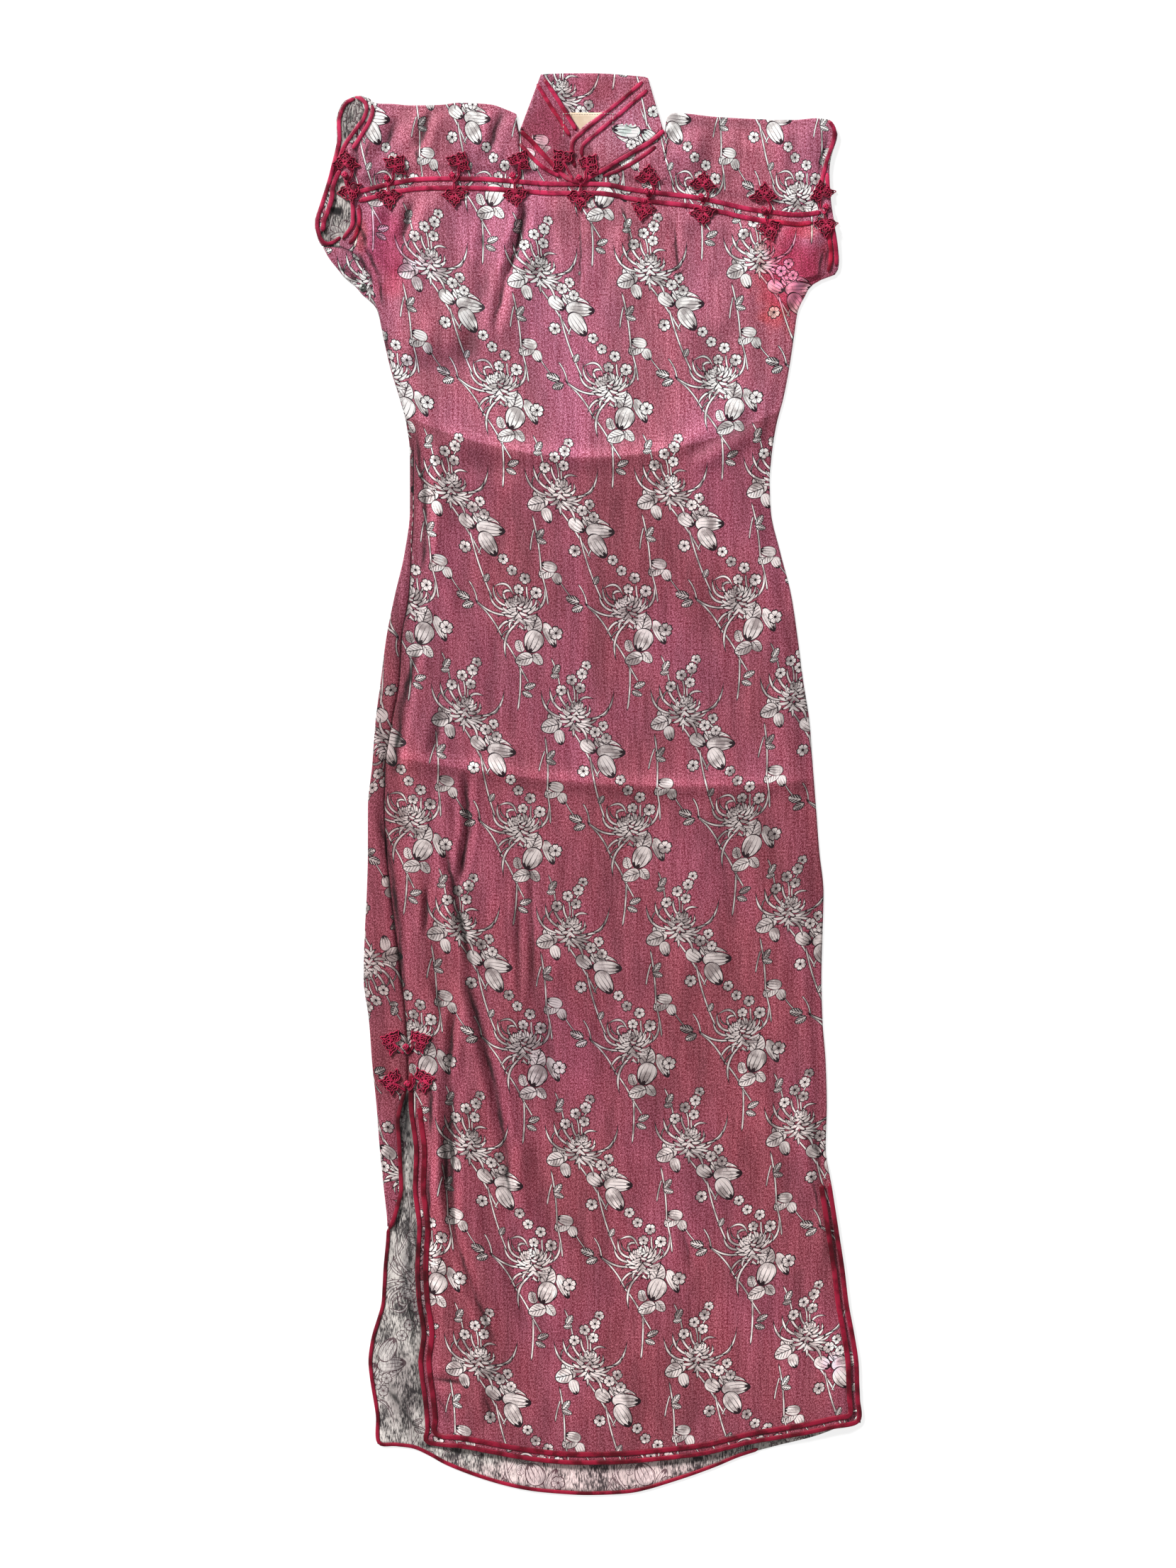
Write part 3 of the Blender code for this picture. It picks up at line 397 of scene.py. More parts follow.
def calc(tree, operation, *values, clamp=False):
    node = tree.nodes.new("ShaderNodeMath")
    node.operation, node.use_clamp = operation, clamp
    for socket, value in zip(node.inputs, values):
        put(tree, socket, value)
    return node.outputs[0]


def vec(tree, operation, *values):
    node = tree.nodes.new("ShaderNodeVectorMath")
    node.operation = operation
    for socket, value in zip(node.inputs, values):
        put(tree, socket, value)
    return node.outputs["Value" if operation in ("DOT_PRODUCT", "LENGTH") else "Vector"]


def scaled(tree, value, share):
    made = vec(tree, "SCALE", value)
    put(tree, made.node.inputs["Scale"], share)
    return made


def pick(tree, share, a, b, kind="FLOAT"):
    node = tree.nodes.new("ShaderNodeMix")
    node.data_type = kind
    first, out = {"FLOAT": (2, 0), "VECTOR": (4, 1), "RGBA": (6, 2)}[kind]
    for socket, value in ((node.inputs[0], share), (node.inputs[first], a), (node.inputs[first + 1], b)):
        put(tree, socket, value)
    return node.outputs[out]


def blend(tree, share, *colors):
    # a mix of two colours, each of them a socket or red, green and blue
    return pick(tree, share, *((*color, 1.0) if isinstance(color, tuple) else color for color in colors), "RGBA")


def parts(tree, value):
    node = tree.nodes.new("ShaderNodeSeparateXYZ")
    put(tree, node.inputs[0], value)
    return node.outputs


def joined(tree, x, y, z=0.0):
    node = tree.nodes.new("ShaderNodeCombineXYZ")
    for socket, value in zip(node.inputs, (x, y, z)):
        put(tree, socket, value)
    return node.outputs[0]


def grain(tree, where, scale, detail=1.0, rough=0.5, flat=True):
    node = tree.nodes.new("ShaderNodeTexNoise")
    node.noise_dimensions = "2D" if flat else "3D"
    put(tree, node.inputs["Vector"], where)
    node.inputs["Scale"].default_value = scale
    node.inputs["Detail"].default_value = detail
    node.inputs["Roughness"].default_value = rough
    return node.outputs[0]


def ramp(tree, value, low, high, to=(0.0, 1.0)):
    node = tree.nodes.new("ShaderNodeMapRange")
    node.interpolation_type = "SMOOTHSTEP"
    put(tree, node.inputs[0], value)
    for socket, number in zip(node.inputs[1:5], (low, high, *to)):
        socket.default_value = number
    return node.outputs[0]


# one repeat of the brocade, charted in mm from the middle of each bouquet's chrysanthemum
bouquetSide = {
    "at": (0.0, 0.0),
    "wrap": (6.0, -27.0),  # middle of what belongs to this bouquet
    # from x, y | to x, y | bend | half width
    "stems": (
        (-5, -16, 22, -63, 1.5, 0.6), (14, -43, 29, -101, -1.8, 0.6), (20, -62, 24.5, -54, 0, 0.45),
        (-14, 12, -21, 47, -2, 0.5), (2, 8, 8, 30, 2.5, 0.5), (-1, 8, -3, 26, -1, 0.45),
        (-28, -26, -25, -78, 1.5, 0.55), (-25, -76, -21, -106, 0.8, 0.55), (-33, -57, -28, -38, 0.5, 0.45),
    ),
    # middle x, y | half length | half width | way the tip points, degrees | 0 leaf, 1 dark-tipped bud, 2 sprig
    "leaves": (
        (-17, 37.5, 5.6, 3.8, 55, 2), (-18.5, 31.5, 4.4, 3, 5, 2), (25.5, -84, 4.6, 3.2, 60, 2),
        (-22.5, -42, 6, 3.6, 50, 2), (-22, -48.5, 5.2, 3.2, -20, 2), (-19.5, -10, 9, 6, 130, 0),
        (-24, -15, 8.6, 7.6, 200, 0), (-14.5, -25, 7.6, 5.4, -75, 1), (12, -34, 9, 6.6, -40, 1),
        (30, -32.5, 14, 6, -16, 0), (33, -39.5, 14, 7.4, -6, 1), (30, -53, 12.6, 8.2, -60, 1),
    ),
    # middle x, y | reach | turn
    "blossoms": (
        (10.8, 41, 5.4, 0.3), (6.6, 33.5, 6.2, 0.9), (-3.2, 28, 6, 0.1), (4.6, 20.5, 5.9, 0.7), (-13, 18.5, 6, 0.4),
        (25.5, -15, 5.7, 0.2), (18.2, -20.5, 6.3, 0.6), (28.6, -26.5, 5.7, 1.0), (8.2, -57, 6.5, 0.5),
    ),
    "petals": (
        (-9, -7, -31.5, 14, 6.2, 0.8), (-26, 4, -22, 11, 1, 0.12), (-9, -2, -23.5, 18, 3.8, 0.85),
        (-6, 1, -16.5, 19.5, 1.8, 0.8), (-20, 9, -17, 14.5, 0.6, 0.12), (-2, 5, -7, 20, 1.4, 0.7),
        (7, -8, 35, 12.5, -8, 0.8), (24, -6, 30, -1, -1, 0.1), (6, -5, 13, 3.5, -3.2, 0.8), (2, 5, 15, 11, 3.6, 0.8),
        (6, -10, 19.5, -9, -2.5, 0.8), (2, -12, 23, -23, -3, 0.85), (-4, -12, 11, -29, 4, 0.95),
        (-2, -12, 22, -33, 4.5, 0.95), (1, -12, 31, -31, 5, 0.9), (-7, -10, -2, -24, 2, 0.9),
    ),
    # middle x, y | petals | how far out their middles lie | half length | half width | curl
    "rings": (
        (-1.5, -5.5, 13, 10.2, 6.0, 1.9, 0.055), (-0.5, -2.0, 10, 6.8, 4.2, 1.9, 0.08),
        (0.6, 1.0, 6, 4.0, 3.2, 1.7, 0.16), (1.2, 2.6, 4, 1.7, 2.0, 1.3, 0.3),
    ),
}
bouquetTall = {
    "at": (53.0, -110.0),
    "wrap": (-6.0, -26.0),
    "stems": (
        (-39, 4, -17, -28, 2.5, 0.6), (-18, -26, 0, -60, 1.5, 0.6), (-2, -50, -5, -93, 1, 0.6),
        (-2, -54, 5, -67, 0, 0.5), (-44, 22, -38, 3, 1.5, 0.45), (9, 20, 10, 4, -0.6, 0.6),
    ),
    "leaves": (
        (-51, 8.5, 7, 4.4, 160, 2), (-47, 0.5, 6, 4, 200, 2), (6.5, -71, 6, 3.6, 20, 2), (4, -78.5, 5.4, 3.2, -25, 2),
        (-1.5, -34.5, 6, 5, 110, 0), (27, -23.5, 12.6, 5.4, -68, 1), (14.5, -46, 6.6, 5, -50, 0),
        (2, -46.5, 9, 6.6, 200, 0), (13.4, -14.5, 9.4, 8.4, 75, 0), (11.5, -30, 11.6, 9.8, -118, 1),
    ),
    "blossoms": (
        (-10.5, 44, 5.7, 0.2), (-3.2, 34, 5.7, 0.8), (8.2, 27, 6, 0.5), (1.5, 17, 5.7, 1.1), (17.5, 14.5, 6.6, 0.6),
        (33, -22, 7.2, 0.9),
    ),
    "petals": (
        (-7, 1, -22, 19, 6, 0.85), (-20.5, 19, -4, 12, 6, 0.8), (-8, -2, -26, 11, 5.2, 0.85),
        (-6, 3, -13, 15, 2.5, 0.8), (-6, -6, -19, -8, -2.5, 0.8), (-13, 13, -6, 15, 1.5, 0.8),
        (6, -3, 25.5, 19, -7.5, 0.85), (19, 1, 17, 8, -1.6, 0.15), (6, 0, 17, 9, -4, 0.8), (4, 3, 14, 13, -2.5, 0.8),
        (-6, -6, -38, 4, 4.5, 0.7), (-14, 8, -19, 14, 1, 0.12), (-3, -11, -21, -22, -3.4, 0.8),
        (-9, -20, -17, -26, -1.2, 0.12), (-1, -13, -15, -44, -5.5, 0.85), (-5, -14, -14, -18, -1.5, 0.15),
        (2, -10, 4, -20, 2, 0.85), (-4, -10, -10, -19, -2, 0.8),
    ),
    "rings": (
        (0.0, -2.5, 15, 11.0, 5.6, 1.9, 0.06), (-0.5, 0.5, 11, 7.6, 4.4, 1.9, 0.08),
        (-1.5, 3.0, 7, 4.6, 3.2, 1.7, 0.14), (-2.2, 4.8, 4, 1.9, 2.0, 1.3, 0.3),
    ),
}
# what lies too far from both: a pair of round leaves on a long thin stem
loneLeaf = {
    "at": (-18.0, -76.0),
    "wrap": (0.0, 0.0),
    "stems": ((8, -5, 28, -32, -2, 0.3),),
    "leaves": ((7.5, -6.5, 6, 5, -70, 1), (-2, -0.5, 8.6, 6.6, 215, 0), (1, 4.5, 8, 5.4, 165, 1)),
    "blossoms": (),
    "petals": (),
    "rings": (),
}


def axes(row, half, wide):
    # the two dot products that turn a place into (along the row, across it)
    cx, cy, dx, dy = row
    return ((dx / half, dy / half, -(cx * dx + cy * dy) / half), (-dy / wide, dx / wide, (cx * dy - cy * dx) / wide))


def lineAxes(x0, y0, x1, y1, share, wide):
    # the same for a line between two points, of which a share is half its reach
    size = math.hypot(x1 - x0, y1 - y0)
    return axes(((x0 + x1) / 2, (y0 + y1) / 2, (x1 - x0) / size, (y1 - y0) / size), size * share, wide)


def strokes(tree, here, rows, shade, edge, taper):
    # bent strokes that thin out at both ends, each with a dark outline over what is behind it
    near = 9.0
    for x0, y0, x1, y1, bend, wide in rows:
        run, off = lineAxes(x0, y0, x1, y1, 0.5, 1.0)
        run = vec(tree, "DOT_PRODUCT", here, run)
        inside = calc(tree, "SUBTRACT", 1.0, calc(tree, "MULTIPLY", run, run))
        off = calc(tree, "ABSOLUTE", calc(tree, "MULTIPLY_ADD", inside, -bend, vec(tree, "DOT_PRODUCT", here, off)))
        inside = calc(tree, "MINIMUM", calc(tree, "MULTIPLY", inside, taper), 1.0)
        off = calc(tree, "MULTIPLY_ADD", inside, -wide, off)
        near = pick(tree, calc(tree, "LESS_THAN", off, edge), near, off)
    tone = calc(tree, "MULTIPLY_ADD", calc(tree, "LESS_THAN", near, 0.0), 2.0, -1.0)
    return pick(tree, calc(tree, "LESS_THAN", near, edge), shade, tone)


def either(tree, *values):
    made = values[0]
    for value in values[1:]:
        made = calc(tree, "MAXIMUM", made, value)
    return made


def leafShade(tree, here, rows, shade):
    chosen = (9.0, 9.0, 0.0)
    for cx, cy, half, wide, turn, kind in rows:
        a = math.radians(turn)
        run, off = axes((cx, cy, math.cos(a), math.sin(a)), half, wide)
        spot = joined(tree, vec(tree, "DOT_PRODUCT", here, run), vec(tree, "DOT_PRODUCT", here, off), 0.1 * kind)
        chosen = pick(tree, calc(tree, "LESS_THAN", vec(tree, "LENGTH", spot), 1.0), chosen, spot, "VECTOR")
    x, y, kind = parts(tree, chosen)
    wide = calc(tree, "MULTIPLY", y, calc(tree, "MULTIPLY_ADD", x, 0.22, 1.05))
    edge = calc(tree, "MULTIPLY_ADD", x, x, calc(tree, "MULTIPLY", wide, wide))
    side = calc(tree, "ABSOLUTE", y)
    rib = calc(tree, "LESS_THAN", calc(tree, "ABSOLUTE", calc(tree, "MULTIPLY_ADD", x, 0.14, y)), 0.055)
    slant = calc(tree, "MULTIPLY_ADD", side, -0.95, calc(tree, "MULTIPLY", x, 1.15))
    vein = calc(tree, "LESS_THAN", calc(tree, "FRACT", calc(tree, "MULTIPLY", slant, 2.3)), 0.2)
    vein = calc(tree, "MULTIPLY", vein, calc(tree, "LESS_THAN", edge, 0.6))
    around = calc(tree, "MULTIPLY_ADD", x, calc(tree, "MULTIPLY", x, -1.0), 1.04)
    around = calc(tree, "SQRT", calc(tree, "MAXIMUM", around, 0.05))
    fan = calc(tree, "DIVIDE", y, around)
    line = calc(tree, "LESS_THAN", calc(tree, "FRACT", calc(tree, "MULTIPLY_ADD", fan, 2.3, 0.25)),
                calc(tree, "MULTIPLY_ADD", x, 0.13, 0.13))
    tip = calc(tree, "MULTIPLY_ADD", calc(tree, "SINE", calc(tree, "MULTIPLY", fan, 10.0)), 0.12, x)
    bud = either(tree, line, calc(tree, "GREATER_THAN", tip, 0.66))
    dark = pick(tree, calc(tree, "GREATER_THAN", kind, 0.05), either(tree, rib, vein), bud)
    dark = either(tree, dark, calc(tree, "GREATER_THAN", edge, 0.8))
    pale = either(tree, calc(tree, "LESS_THAN", side, 0.14),
                  calc(tree, "LESS_THAN", calc(tree, "FRACT", calc(tree, "MULTIPLY", slant, 2.1)), 0.36))
    sprig = calc(tree, "SUBTRACT", 1.0, calc(tree, "MULTIPLY", pale, calc(tree, "LESS_THAN", edge, 0.72)))
    dark = pick(tree, calc(tree, "GREATER_THAN", kind, 0.15), dark, sprig)
    tone = calc(tree, "MULTIPLY_ADD", dark, -2.0, 1.0)
    return pick(tree, calc(tree, "LESS_THAN", edge, 1.0), shade, tone)


def blossomShade(tree, here, rows, shade):
    chosen = (9.0, 9.0, 0.0)
    for cx, cy, reach, turn in rows:
        spot = vec(tree, "MULTIPLY_ADD", here, (1 / reach, 1 / reach, 0.0), (-cx / reach, -cy / reach, 0.1 * turn))
        chosen = pick(tree, calc(tree, "LESS_THAN", vec(tree, "LENGTH", spot), 1.0), chosen, spot, "VECTOR")
    x, y, turn = parts(tree, chosen)
    r = vec(tree, "LENGTH", chosen)
    angle = calc(tree, "MULTIPLY", calc(tree, "MULTIPLY_ADD", turn, 10.0, calc(tree, "ARCTAN2", y, x)), 2.5)
    petal = calc(tree, "ABSOLUTE", calc(tree, "COSINE", angle))
    reach = calc(tree, "MULTIPLY_ADD", calc(tree, "SQRT", petal), 0.42, 0.6)
    reach = calc(tree, "MULTIPLY_ADD", calc(tree, "POWER", petal, 14.0), -0.12, reach)
    share = calc(tree, "DIVIDE", r, reach)
    between = calc(tree, "LESS_THAN", calc(tree, "MULTIPLY", petal, r), 0.085)
    thread = calc(tree, "MULTIPLY", calc(tree, "ABSOLUTE", calc(tree, "SINE", angle)), r)
    thread = calc(tree, "MULTIPLY", calc(tree, "LESS_THAN", thread, 0.06), calc(tree, "LESS_THAN", r, 0.46))
    dark = either(tree, between, thread, calc(tree, "LESS_THAN", r, 0.2), calc(tree, "GREATER_THAN", share, 0.83))
    tone = calc(tree, "MULTIPLY_ADD", dark, -2.0, 1.0)
    return pick(tree, calc(tree, "LESS_THAN", share, 1.0), shade, tone)


def ringShade(tree, here, ring, seed, shade):
    # one ring of a chrysanthemum's petals, which curl up on both sides
    cx, cy, count, middle, half, wide, curl = ring
    spot = vec(tree, "MULTIPLY_ADD", here, (1.0, 1.0, 0.0), (-cx, -cy, 0.0))
    x, y = parts(tree, spot)[:2]
    r = vec(tree, "LENGTH", spot)
    turn = calc(tree, "MULTIPLY_ADD", r, curl, calc(tree, "ABSOLUTE", calc(tree, "ARCTAN2", x, y)))
    turn = calc(tree, "MULTIPLY", turn, count / (2 * math.pi))
    which = tree.nodes.new("ShaderNodeTexWhiteNoise")
    which.noise_dimensions = "2D"
    put(tree, which.inputs["Vector"],
        joined(tree, calc(tree, "FLOOR", turn), calc(tree, "MULTIPLY_ADD", calc(tree, "SIGN", x), 7.0, seed)))
    far = calc(tree, "MULTIPLY_ADD", which.outputs[0], 0.36 * middle, -1.18 * middle)
    reach = calc(tree, "DIVIDE", calc(tree, "ADD", r, far), half)
    off = calc(tree, "MULTIPLY", calc(tree, "SUBTRACT", calc(tree, "FRACT", turn), 0.5), 2 * math.pi / count)
    off = calc(tree, "DIVIDE", calc(tree, "MULTIPLY", off, r), wide)
    edge = calc(tree, "MULTIPLY_ADD", reach, reach, calc(tree, "MULTIPLY", off, off))
    tone = calc(tree, "MULTIPLY_ADD", calc(tree, "LESS_THAN", edge, 0.53), 2.0, -1.0)
    return pick(tree, calc(tree, "LESS_THAN", edge, 1.0), shade, tone)


def makeBrocade():
    # 1 where a silver thread shows, -1 where a dark one does, 0 on the ground
    tree, taken, given = group("flowerWeave", [("Thread", "NodeSocketVector")], [("Shade", "NodeSocketFloat")])
    spot = scaled(tree, taken["Thread"], 1 / mm)
    shade = 0.0
    half = (weave["across"] / 2, weave["down"] / 2)
    for motif in (loneLeaf, bouquetSide, bouquetTall):
        (ax, ay), (wx, wy) = motif["at"], motif["wrap"]
        moved = vec(tree, "SUBTRACT", spot, (ax, ay, 0.0))
        here = vec(tree, "WRAP", moved, (wx + half[0], wy + half[1], 9.0), (wx - half[0], wy - half[1], -9.0))
        here = vec(tree, "MULTIPLY_ADD", here, (1.0, 1.0, 0.0), (0.0, 0.0, 1.0))
        shade = strokes(tree, here, motif["stems"], shade, 0.5, 5.0)
        shade = leafShade(tree, here, motif["leaves"], shade)
        if motif["petals"]:
            shade = strokes(tree, here, motif["petals"], shade, 0.7, 1.6)
            shade = blossomShade(tree, here, motif["blossoms"], shade)
        for seed, ring in enumerate(motif["rings"]):
            shade = ringShade(tree, here, ring, seed * 3.0, shade)
    put(tree, given["Shade"], shade)
    return tree


def makeCreaseShadeLines():
    # 1 along the sharp line of each pressed crease, where the cloth gets painted shade
    tree, taken, given = group("creaseShadeLines", [("Place", "NodeSocketVector")], [("Line", "NodeSocketFloat")])
    sway = grain(tree, taken["Place"], 70.0, 1.0)
    sway = calc(tree, "MULTIPLY_ADD", sway, 5.0, -2.5)
    here = vec(tree, "MULTIPLY_ADD", taken["Place"], (1 / mm, 1 / mm, 0.0), joined(tree, sway, 0.0, 1.0))
    line = 0.0
    for x0, y0, x1, y1, wide, high in creases + shadeLinesOnly:
        if high > -0.9 or wide > 6:
            continue
        run, off = lineAxes(x0, y0, x1, y1, 0.64, 0.35 * wide + 0.5 + 0.5 * abs(high))
        far = joined(tree, vec(tree, "DOT_PRODUCT", here, run), vec(tree, "DOT_PRODUCT", here, off))
        far = vec(tree, "LENGTH", far)
        deep = min(1.0, -0.52 * high)
        line = calc(tree, "MAXIMUM", line, calc(tree, "MULTIPLY_ADD", far, -deep, deep))
    put(tree, given["Line"], line)
    return tree


# x, y | half width | half height | tint | strength: dye that ran, rust, patches made darker or lighter, and painted
# shadow deep in the left cuff, down the slit, between the slit's ribbons and over the underlap
stainsAndShade = (
    # -187, 500 is dye that ran, darkened further as painted shade over the underlap
    (-187, 500, 27, 48, (0.7, 0.2, 0.44), 0.75), (-164, 477, 30, 22, (1.05, 0.74, 0.9), 0.5),
    (-181, 462, 15, 19, (1.15, 0.6, 0.68), 0.5), (-210, 508, 8, 20, (1.4, 1.0, 0.75), 0.7),
    (-131, 395, 50, 20, (0.8, 0.66, 0.8), 0.6), (186, 472, 41, 58, (1.15, 0.6, 0.46), 0.9),
    (188, 476, 34, 48, (0.84, 0.42, 0.9), 0.95), (172, 434, 16, 12, (1.2, 0.66, 0.6), 0.6),
    (203, 512, 14, 12, (1.3, 0.85, 0.7), 0.6), (223, 490, 8, 26, (1.1, 0.5, 0.6), 0.8),
    # -233, 531 is painted shadow deep in the left cuff
    (-233, 531, 9, 5, (0.06, 0.03, 0.04), 0.95), (227, -538, 13, 13, (1.15, 0.7, 0.95), 0.5),
    (60, 180, 90, 50, (0.96, 0.86, 0.9), 0.5), (-20, -240, 60, 90, (0.9, 0.8, 0.95), 0.4),
    # -166, -445, -172, -565 and -171, -312 are painted shadow down the slit
    (-190, -20, 26, 330, (0.82, 0.74, 0.74), 0.9), (-166, -445, 8, 66, (0.4, 0.39, 0.41), 0.8),
    (-172, -565, 22, 50, (0.5, 0.46, 0.48), 0.8), (-171, -312, 9, 44, (0.5, 0.48, 0.5), 0.8),
    (-38, 606, 28, 38, (0.87, 0.42, 0.53), 0.9), (5, 645, 36, 16, (0.95, 0.66, 0.7), 0.8),
    # -152, -462 is painted shadow between the slit's ribbons
    (32, 607, 40, 30, (1.12, 1.42, 1.36), 0.9), (-152, -462, 4, 100, (0.34, 0.2, 0.25), 0.85),
    (25, -640, 190, 26, (1.34, 1.08, 1.14), 0.8),
)


# the two old folds across it: y in the middle | lean | bend | how far the painted light and the painted shade fade
# away
# | painted light above it by | painted shade below it by | tint of the cloth below it
oldFolds = (
    (302.3, 0.0, 0.00137, 70.0, 24.0, 0.1, -0.1, (0.70, 0.565, 0.57)),
    (0.8, -0.067, 0.0004, 60.0, 26.0, 0.16, -0.13, (0.965, 0.91, 0.88)),
)


def makeShadeAndStains():
    # painted light and shade along its old folds, over its wrinkles and in its creases, the tint below the folds, and
    # its stained patches, some of which are painted shadow
    tree, taken, given = group(
        "clothShadeAndStains",
        [("Place", "NodeSocketVector"), ("Color", "NodeSocketColor"), ("PaintedShading", "NodeSocketFloat"),
         ("FoldTintShare", "NodeSocketFloat")],
        [("Color", "NodeSocketColor")])
    spot = scaled(tree, taken["Place"], 1 / mm)
    x, y = parts(tree, spot)[:2]
    light, tint = 1.0, (1.0, 1.0, 1.0)
    for level, lean, bend, above, below, lightAbove, shadeBelow, dye in oldFolds:
        line = calc(tree, "MULTIPLY_ADD", x, lean, level)
        line = calc(tree, "MULTIPLY_ADD", calc(tree, "MULTIPLY", x, x), bend, line)
        off = calc(tree, "SUBTRACT", y, line)
        up = ramp(tree, off, -1.5, 1.5, (shadeBelow, lightAbove))
        fade = calc(tree, "MAXIMUM", calc(tree, "DIVIDE", off, above), calc(tree, "DIVIDE", off, -below))
        light = calc(tree, "MULTIPLY_ADD", up, ramp(tree, fade, 0.0, 1.0, (1.0, 0.0)), light)
        tint = pick(tree, ramp(tree, off, -1.5, 1.5), vec(tree, "MULTIPLY", tint, dye), tint, "VECTOR")
    # painted light and shade of broad soft folds and of smaller wrinkles
    broadFoldShade = grain(tree, vec(tree, "MULTIPLY", taken["Place"], (1.0, 0.45, 1.0)), 14.0, 2.0)
    light = calc(tree, "MULTIPLY_ADD", ramp(tree, broadFoldShade, 0.25, 0.75, (-0.5, 0.5)), 0.26, light)
    wrinkleShade = grain(tree, vec(tree, "MULTIPLY", taken["Place"], (1.0, 0.25, 1.0)), 60.0, 3.0, 0.6)
    light = calc(tree, "MULTIPLY_ADD", ramp(tree, wrinkleShade, 0.25, 0.75, (-0.5, 0.5)), 0.32, light)
    # painted shade deep in the creases and painted highlight on their ridges, from the shading kept on each vertex
    light = calc(tree, "MULTIPLY", light, ramp(tree, taken["PaintedShading"], -2.4, 0.1, (0.5, 1.0)))
    light = calc(tree, "MULTIPLY", light, ramp(tree, taken["PaintedShading"], 0.0, 2.0, (1.0, 1.28)))
    # painted shade along each crease's sharp line
    line = use(tree, creaseShadeLines, taken["Place"])[0]
    light = calc(tree, "MULTIPLY", light, ramp(tree, line, 0.0, 0.9, (1.0, 0.22)))
    color = scaled(tree, taken["Color"], light)
    color = pick(tree, taken["FoldTintShare"], color, vec(tree, "MULTIPLY", color, tint), "VECTOR")
    torn = grain(tree, taken["Place"], 55.0, 3.0)
    for cx, cy, wide, high, dye, strength in stainsAndShade:
        off = vec(tree, "MULTIPLY_ADD", spot, (1 / wide, 1 / high, 0.0), (-cx / wide, -cy / high, 0.0))
        off = vec(tree, "LENGTH", off)
        mask = ramp(tree, calc(tree, "MULTIPLY_ADD", torn, 0.8, off), 0.75, 1.5, (strength, 0.0))
        color = pick(tree, mask, color, vec(tree, "MULTIPLY", color, dye), "VECTOR")
    put(tree, given["Color"], color)
    return tree


def finish(name, rough, **settings):
    look = bpy.data.materials.new(name)
    look.use_nodes = True
    shader = look.node_tree.nodes["Principled BSDF"]
    shader.inputs["Roughness"].default_value = rough
    for setting, value in settings.items():
        shader.inputs[setting.replace("_", " ")].default_value = value
    return look, look.node_tree, shader


def place(tree, kind="Object"):
    node = tree.nodes.new("ShaderNodeTexCoord" if kind == "Object" else "ShaderNodeUVMap")
    if kind == "Object":
        return node.outputs["Object"]
    node.uv_map = kind
    return node.outputs["UV"]


def use(tree, what, *values):
    node = tree.nodes.new("ShaderNodeGroup")
    node.node_tree = what
    for socket, value in zip(node.inputs, values):
        put(tree, socket, value)
    return node.outputs


def coated(tree, shader, color, value, low, high, rough):
    # the colour, and a roughness that follows some value
    tree.links.new(color, shader.inputs["Base Color"])
    put(tree, shader.inputs["Roughness"], ramp(tree, value, low, high, rough))


def raised(tree, shader, height, strength, distance=0.001):
    bump = tree.nodes.new("ShaderNodeBump")
    bump.inputs["Strength"].default_value = strength
    bump.inputs["Distance"].default_value = distance
    put(tree, bump.inputs["Height"], height)
    tree.links.new(bump.outputs[0], shader.inputs["Normal"])


brocade, creaseShadeLines = makeBrocade(), makeCreaseShadeLines()
shadeAndStains = makeShadeAndStains()
print("weave charted")

silk = {
    "groundDark": (0.20, 0.0125, 0.038), "groundLight": (0.87, 0.342, 0.483),
    "brownish": (1.02, 1.0, 0.93), "violet": (0.98, 1.0, 1.06),
    "silver": (0.90, 0.87, 0.85), "silverDim": (0.37, 0.33, 0.325), "dark": (0.020, 0.004, 0.011),
    "palest": (0.93, 0.90, 0.89),
}


def lowness(tree):
    node = tree.nodes.new("ShaderNodeAttribute")
    node.attribute_name = "paintedShading"
    return node.outputs["Fac"]


def makeRose():
    look, tree, shader = finish("roseBrocade", 0.6, Sheen_Weight=0.08, Sheen_Roughness=0.4, Specular_IOR_Level=0.28)
    where = place(tree)
    shade = use(tree, brocade, place(tree, "weave"))[0]
    x, y = parts(tree, where)[:2]
    slant = joined(tree, calc(tree, "MULTIPLY_ADD", y, -0.45, x), calc(tree, "MULTIPLY", y, 0.5))
    twill = grain(tree, slant, 1150.0, 2.0, 0.8)
    slub = grain(tree, vec(tree, "MULTIPLY", where, (1.0, 0.05, 1.0)), 420.0, 1.0)
    speck = ramp(tree, calc(tree, "MULTIPLY_ADD", slub, 0.14, twill), 0.43, 0.85)
    color = blend(tree, speck, silk["groundDark"], silk["groundLight"])
    hue = ramp(tree, grain(tree, vec(tree, "MULTIPLY", where, (1.0, 0.6, 1.0)), 11.0, 2.0), 0.3, 0.7)
    color = vec(tree, "MULTIPLY", color, pick(tree, hue, silk["brownish"], silk["violet"], "VECTOR"))
    lustre = grain(tree, where, 85.0, 2.0)
    silver = ramp(tree, calc(tree, "MULTIPLY_ADD", twill, 0.4, lustre), 0.5, 0.82)
    silver = blend(tree, silver, silk["silverDim"], silk["silver"])
    # painted sheen: the silver threads duller at the hip and brighter towards the chest and the hem
    silverSheen = ramp(tree, calc(tree, "ABSOLUTE", calc(tree, "ADD", y, 0.1)), 0.08, 0.42, (0.84, 1.2))
    silver = vec(tree, "MULTIPLY", silver, joined(tree, silverSheen, silverSheen, silverSheen))
    color = blend(tree, calc(tree, "GREATER_THAN", shade, 0.5), color, silver)
    color = blend(tree, calc(tree, "LESS_THAN", shade, -0.5), color, silk["dark"])
    color = use(tree, shadeAndStains, where, color, lowness(tree), ramp(tree, shade, 0.3, 0.7, (1.0, 0.55)))[0]
    coated(tree, shader, vec(tree, "MINIMUM", color, silk["palest"]), shade, 0.0, 1.0, (0.62, 0.42))
    raised(tree, shader, twill, 0.4, 0.0005)
    return look


